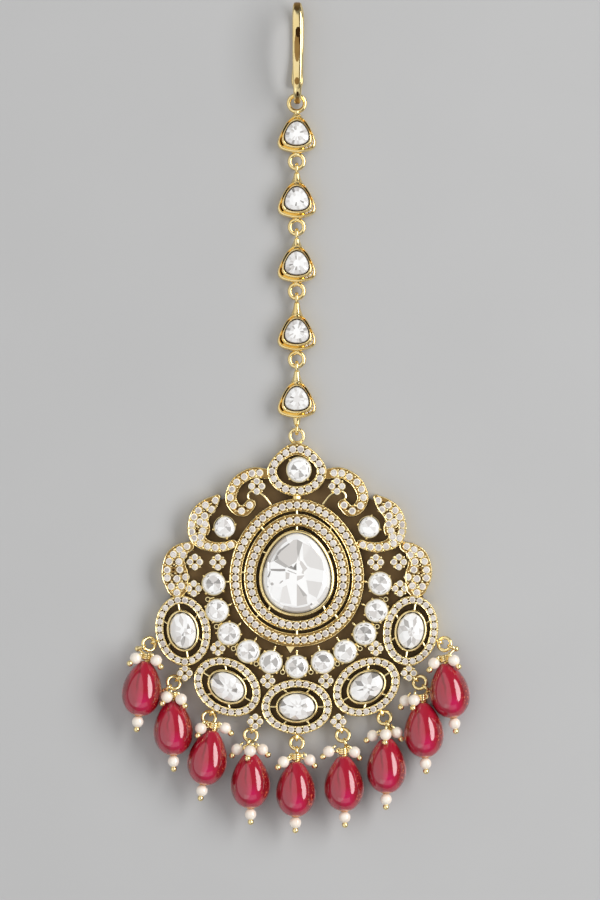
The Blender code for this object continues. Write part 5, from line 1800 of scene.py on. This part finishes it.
@dataclass
class Fringe:
    """Nine red glass drops on jump rings, each with gold pins, pearls and gold balls.

    Attributes:
        drops: the drops, from left to right.
        radius, length, axis_z: a drop's largest radius, its length and the height of its middle line.
        widest, neck: share of its length where it is widest, and share of its radius at its neck.
        swell: how early it swells: the power of the share.
        bore, sides: radius of its bore, and sides of its section.
        thread: height at which the eyes lie.
        eye_radius: from an eye's foot to its middle, and from there to the wire of its jump ring.
        jump_ring: radius, wire and tilt in degrees of a jump ring.
        pearl_radius, grain_radius: of a cluster's pearl and of a gold ball.
    """

    drops: tuple = (
        Drop(-26.19, -19.62, -7.7, -23.72, -11.55, -68.0,
             (Pearl(-27.28, -14.42, 4.65, -49), Pearl(-23.78, -14.77, 4.5, 35), Pearl(-25.54, -14.86, 1.05))),
        Drop(-20.93, -26.26, 0.6, -19.76, -17.65, -49.0,
             (Pearl(-21.99, -20.94, 4.95, -35), Pearl(-19.56, -21.3, 5.15, 29), Pearl(-20.98, -21.48, 1.05))),
        Drop(-15.08, -31.33, -10.2, -14.2, -23.3, -28.0,
             (Pearl(-16.24, -26.27, 4.65, -24), Pearl(-12.13, -26.27, 3.4, 48), Pearl(-14.23, -26.61, 1.05))),
        Drop(-7.87, -35.24, 0.5, -7.36, -26.15, -18.0,
             (Pearl(-10.14, -29.9, 3.4, -39), Pearl(-5.84, -29.9, 3.4, 46), Pearl(-7.9, -30.05, 5.4, -18))),
        Drop(-0.18, -36.67, -0.5, 0.0, -27.4, 0.0,
             (Pearl(-2.25, -31.95, 4.65, -47), Pearl(2.18, -31.67, 3.4, 41), Pearl(-0.14, -31.88, 1.05))),
        Drop(7.99, -35.74, 1.4, 7.36, -26.15, 18.0,
             (Pearl(5.4, -30.24, 3.4, -48), Pearl(9.78, -30.36, 3.4, 41), Pearl(7.89, -30.96, 1.05))),
        Drop(15.18, -32.7, -0.6, 14.2, -23.3, 28.0,
             (Pearl(12.87, -27.56, 3.4, -53), Pearl(16.95, -27.03, 3.4, 34), Pearl(15.03, -27.3, 5.15, -3))),
        Drop(21.5, -26.66, 3.3, 19.76, -17.65, 49.0,
             (Pearl(18.36, -21.64, 3.3, -33), Pearl(19.83, -21.49, 4.75, -7), Pearl(22.1, -21.46, 1.05))),
        Drop(25.84, -19.95, 9.2, 23.72, -11.55, 68.0,
             (Pearl(23.19, -15.28, 4.55, -34), Pearl(26.59, -14.77, 4.7, 36), Pearl(24.84, -15.34, 1.05))),
    )
    radius: float = 3.37
    length: float = 9.4
    axis_z: float = 3.42
    widest: float = 0.58
    neck: float = 0.25
    swell: float = 0.85
    bore: float = 0.45
    sides: int = 56
    thread: float = 1.4
    eye_radius: float = 0.45
    jump_ring: tuple = (1.1, 0.31, 20.0)
    pearl_radius: float = 1.0
    grain_radius: float = 0.54

    @staticmethod
    def heading(angle: float) -> Array:
        """The direction in plan that leans by an angle in degrees from straight down the ornament."""
        turn = math.radians(angle)
        return np.array((math.sin(turn), -math.cos(turn), 0.0))

    def stance(self, drop: Drop) -> tuple[Array, Array, Array]:
        """The top of a drop's middle line, the way down it and the way across it."""
        down = self.heading(drop.lean)
        top = np.array((drop.x, drop.y, self.axis_z)) - down * self.length / 2
        return top, down, np.array((-down[1], down[0], 0.0))

    def profile(self) -> tuple[Array, Array]:
        """Share of the length and radius down a drop.

        Above its widest place the radius is neck + (1 - neck) sin(90 degrees * (t / widest)^swell) of the
        full one; below, it is a quarter of an ellipse, sqrt(1 - fall^2).

        Returns:
            The shares and the radii.
        """
        foot = 1 - 0.1 * np.linspace(0.88, 0, 12) ** 2
        share = np.concatenate([[0.0, 0.004, 0.012], np.linspace(0.03, 0.9, 30), foot])
        rise = np.minimum(share / self.widest, 1) ** self.swell
        swell = self.neck + (1 - self.neck) * np.sin(math.pi / 2 * rise)
        fall = np.clip((share - self.widest) / (1 - self.widest), 0, 1)
        radius = np.where(share < self.widest, swell, np.sqrt(1 - fall ** 2)) * self.radius
        radius[:3] *= (0.72, 0.9, 0.97)
        return share, np.maximum(radius, self.bore + 0.12)

    def glass(self, drop: Drop) -> Patch:
        """One drop: its profile turned round its length, with its bore."""
        top, down, side = self.stance(drop)
        share, radius = self.profile()
        share = np.concatenate([share, [1.0, 0.0]])
        radius = np.concatenate([radius, [self.bore, self.bore]])
        angle = angles(self.sides)
        ring_ = side * np.cos(angle)[:, None] + UP * np.sin(angle)[:, None]
        points = top + down * (share * self.length)[:, None, None] + ring_ * radius[:, None, None]
        marks = {"across": (0.5 + 0.5 * np.outer(radius / self.radius, np.cos(angle))).ravel(),
                 "along": np.repeat(share, self.sides)}
        return replace(grid(points, wrap_rows=True), marks=marks)

    def wirework(self, drop: Drop) -> tuple[Patch, Patch]:
        """Gold rings, pins, coils and balls of one drop, and its pearls."""
        top, down, _ = self.stance(drop)
        gather = top - down * 0.75 - UP * 0.25
        gold = self.hanging(drop, gather) + self.coil(drop, gather)
        whites = []
        for place in drop.pearls:
            middle = np.array((place.x, place.y, place.z))
            whites.append(ball(self.pearl_radius, 15, 22).moved(middle))
            gold.append(tube(np.array((gather, (gather + middle) / 2 + UP * 0.15, middle)), 0.17, 6))
            if place.ball is not None:
                gold += self.pin(middle, self.heading(place.ball))
        end = top + down * (self.length + 0.93)
        whites.append(ball(1.0, 15, 22).moved(end))
        gold.append(tube(np.array((end, end + down * 1.2)), 0.2, 8))
        gold.append(ball(self.grain_radius, 9, 12).moved(end + down * 1.3))
        return stacked(gold), stacked(whites)

    def hanging(self, drop: Drop, gather: Array) -> list[Patch]:
        """The jump ring in the eye, the loop and the ball under it, and the wire on into the drop."""
        top, down, _ = self.stance(drop)
        way = self.heading(drop.eye_bearing)
        radius, wire, pitch = self.jump_ring
        flat, rise = radius * math.cos(math.radians(pitch)), radius * math.sin(math.radians(pitch))
        ring_at = np.array((drop.eye_x, drop.eye_y, self.thread + rise)) + way * (self.eye_radius + flat)
        tilted = (way * flat + UP * rise) / radius
        loop_at = ring_at + way * (flat + 0.3) + UP * rise
        stem = np.array((loop_at + way * 0.6, gather, top - down * 0.05, top + down * 1.0))
        return [ring(ring_at, radius, wire, across=tilted, up=np.cross(UP, way), around=36, sides=10),
                ring(loop_at, 0.6, 0.3, across=way, up=UP, around=20),
                ball(0.5, 9, 14).moved(loop_at + way * 0.75),
                tube(stem, 0.24, 8)]

    def coil(self, drop: Drop, gather: Array) -> list[Patch]:
        """The wire wound round the place where the pins gather, and a curl at each side of it."""
        _, down, side = self.stance(drop)
        turns = np.linspace(0, 3.2 * FULL_TURN, 60)[:, None]
        wound = gather + down * (turns / turns.max() * 1.15 - 0.55) \
            + 0.6 * (np.cos(turns) * side + np.sin(turns) * UP)
        curls = [gather + side * sign * 0.72 - down * 0.25 + UP * 0.35 for sign in (-1, 1)]
        return [tube(wound, 0.25, 8, reference=down)] \
            + [ring(curl, 0.32, 0.2, across=side, up=down, around=16, sides=7) for curl in curls]

    def pin(self, middle: Array, out: Array) -> list[Patch]:
        """The gold ball and pin at the foot of a pearl, and the little ring at its top."""
        lift = 0.35 if middle[2] > self.axis_z + self.pearl_radius else 0.0
        return [ball(self.grain_radius, 9, 12).moved(middle + out * 1.3 + UP * lift),
                tube(np.array((middle, middle + out * 1.2)), 0.16, 6),
                ring(middle - out * 1.12, 0.4, 0.18, across=out, up=UP, around=16, sides=6)]

    def build(self, palette: Palette) -> None:
        """Make every drop and what hangs it."""
        for number, drop in enumerate(self.drops, start=1):
            make_piece(f"ruby_glass_{number}", self.glass(drop), palette.ruby,
                       (f"ruby_drop_{number}",), 60.0)
            gold, whites = self.wirework(drop)
            make_piece(f"drop_wire_{number}", gold, palette.plain_gold, (f"drop_hanger_{number}",),
                       60.0)
            make_piece(f"drop_pearls_{number}", whites, palette.pearl, (), 60.0)


# ---- studio


@dataclass(frozen=True)
class Panel:
    """A soft light: where it hangs, what it aims at, its sides, its power and whether it is oval."""

    name: str
    at: tuple
    aim: tuple
    size: tuple
    power: float
    rounded: bool = False


@dataclass
class Studio:
    """Floor, camera and soft lights.

    Attributes:
        view_middle, view_height: x and y under the camera, and how much of the floor it sees, up and down.
        camera_height, sensor: height of the camera and of its sensor.
        floor_half, floor_lines, floor_sink: half of the floor's side, lines of its grid to a side, and how far
            it lies under the ornament.
        world: the room's own light.
        panels: the soft lights.
    """

    view_middle: tuple = (0.544, 20.84)
    view_height: float = 153.0
    camera_height: float = 1000.0
    sensor: float = 36.0
    floor_half: float = 900.0
    floor_lines: int = 9
    floor_sink: float = 0.03
    world: tuple = (0.16, 0.16, 0.16)
    panels: tuple = (
        Panel("key_panel", (830.0, 230.0, 680.0), (0.0, 10.0, 0.0), (540.0, 1500.0), 11.6, True),
        Panel("sky_panel", (-800.0, 0.0, 1060.0), (0.0, 20.0, 0.0), (2700.0, 4200.0), 20.8, True),
        Panel("front_panel", (0.0, -950.0, 640.0), (0.0, 20.0, 0.0), (1400.0, 500.0), 1.1),
    )

    def floor(self) -> None:
        """Make the floor, a large even grid just under the ornament."""
        side = np.linspace(-self.floor_half, self.floor_half, self.floor_lines)
        x, y = np.meshgrid(side, side)
        points = np.stack([x, y, np.full_like(x, -self.floor_sink)], axis=-1)
        patch = grid(points, wrap_columns=False)
        mesh = bpy.data.meshes.new("floor")
        mesh.from_pydata((patch.points * MM).tolist(), [], patch.faces.tolist())
        mesh.materials.append(FloorFinish().material())
        placed("floor", mesh)

    def camera(self) -> None:
        """Make the camera, straight above the ornament."""
        data = bpy.data.cameras.new("camera")
        data.sensor_fit = "VERTICAL"
        data.sensor_height = self.sensor
        data.lens = self.sensor * self.camera_height / self.view_height
        data.clip_start = 0.01
        data.clip_end = 20.0
        camera = placed("camera", data)
        camera.location = np.array((*self.view_middle, self.camera_height)) * MM
        bpy.context.scene.camera = camera

    def light(self, panel: Panel) -> None:
        """Hang one panel, facing its aim."""
        data = bpy.data.lights.new(panel.name, "AREA")
        data.shape = "ELLIPSE" if panel.rounded else "RECTANGLE"
        data.size, data.size_y = (side * MM for side in panel.size)
        data.energy = panel.power
        back = unit(np.array(panel.at) - np.array(panel.aim))
        across = unit(np.cross((0.0, 1.0, 0.0), back))
        up = np.cross(back, across)
        matrix = np.eye(4)
        matrix[:3] = np.column_stack([across, up, back, np.array(panel.at) * MM])
        placed(panel.name, data).matrix_world = Matrix(matrix.tolist())

    def build(self) -> None:
        """Set the floor, the camera, the lights and the room's faint own light."""
        scene = bpy.context.scene
        scene.view_settings.view_transform = "Standard"
        world = scene.world or bpy.data.worlds.new("room")
        scene.world = world
        world.use_nodes = True
        world.node_tree.nodes["Background"].inputs["Color"].default_value = (*self.world, 1.0)
        self.floor()
        self.camera()
        for panel in self.panels:
            self.light(panel)


# ---- whole


def main() -> None:
    """Build every part of the ornament, then the studio."""
    logging.basicConfig(level=logging.INFO, format="%(name)s %(message)s")
    palette = Palette.mixed()
    fringe = Fringe()
    pendant = PendantFrame()
    HairHook().build(palette)
    StationChain().build(palette)
    pendant.build(palette, fringe)
    Paving(pendant).build(palette)
    LargeStones(pendant).build(palette)
    fringe.build(palette)
    Studio().build()


if __name__ == "__main__":
    main()
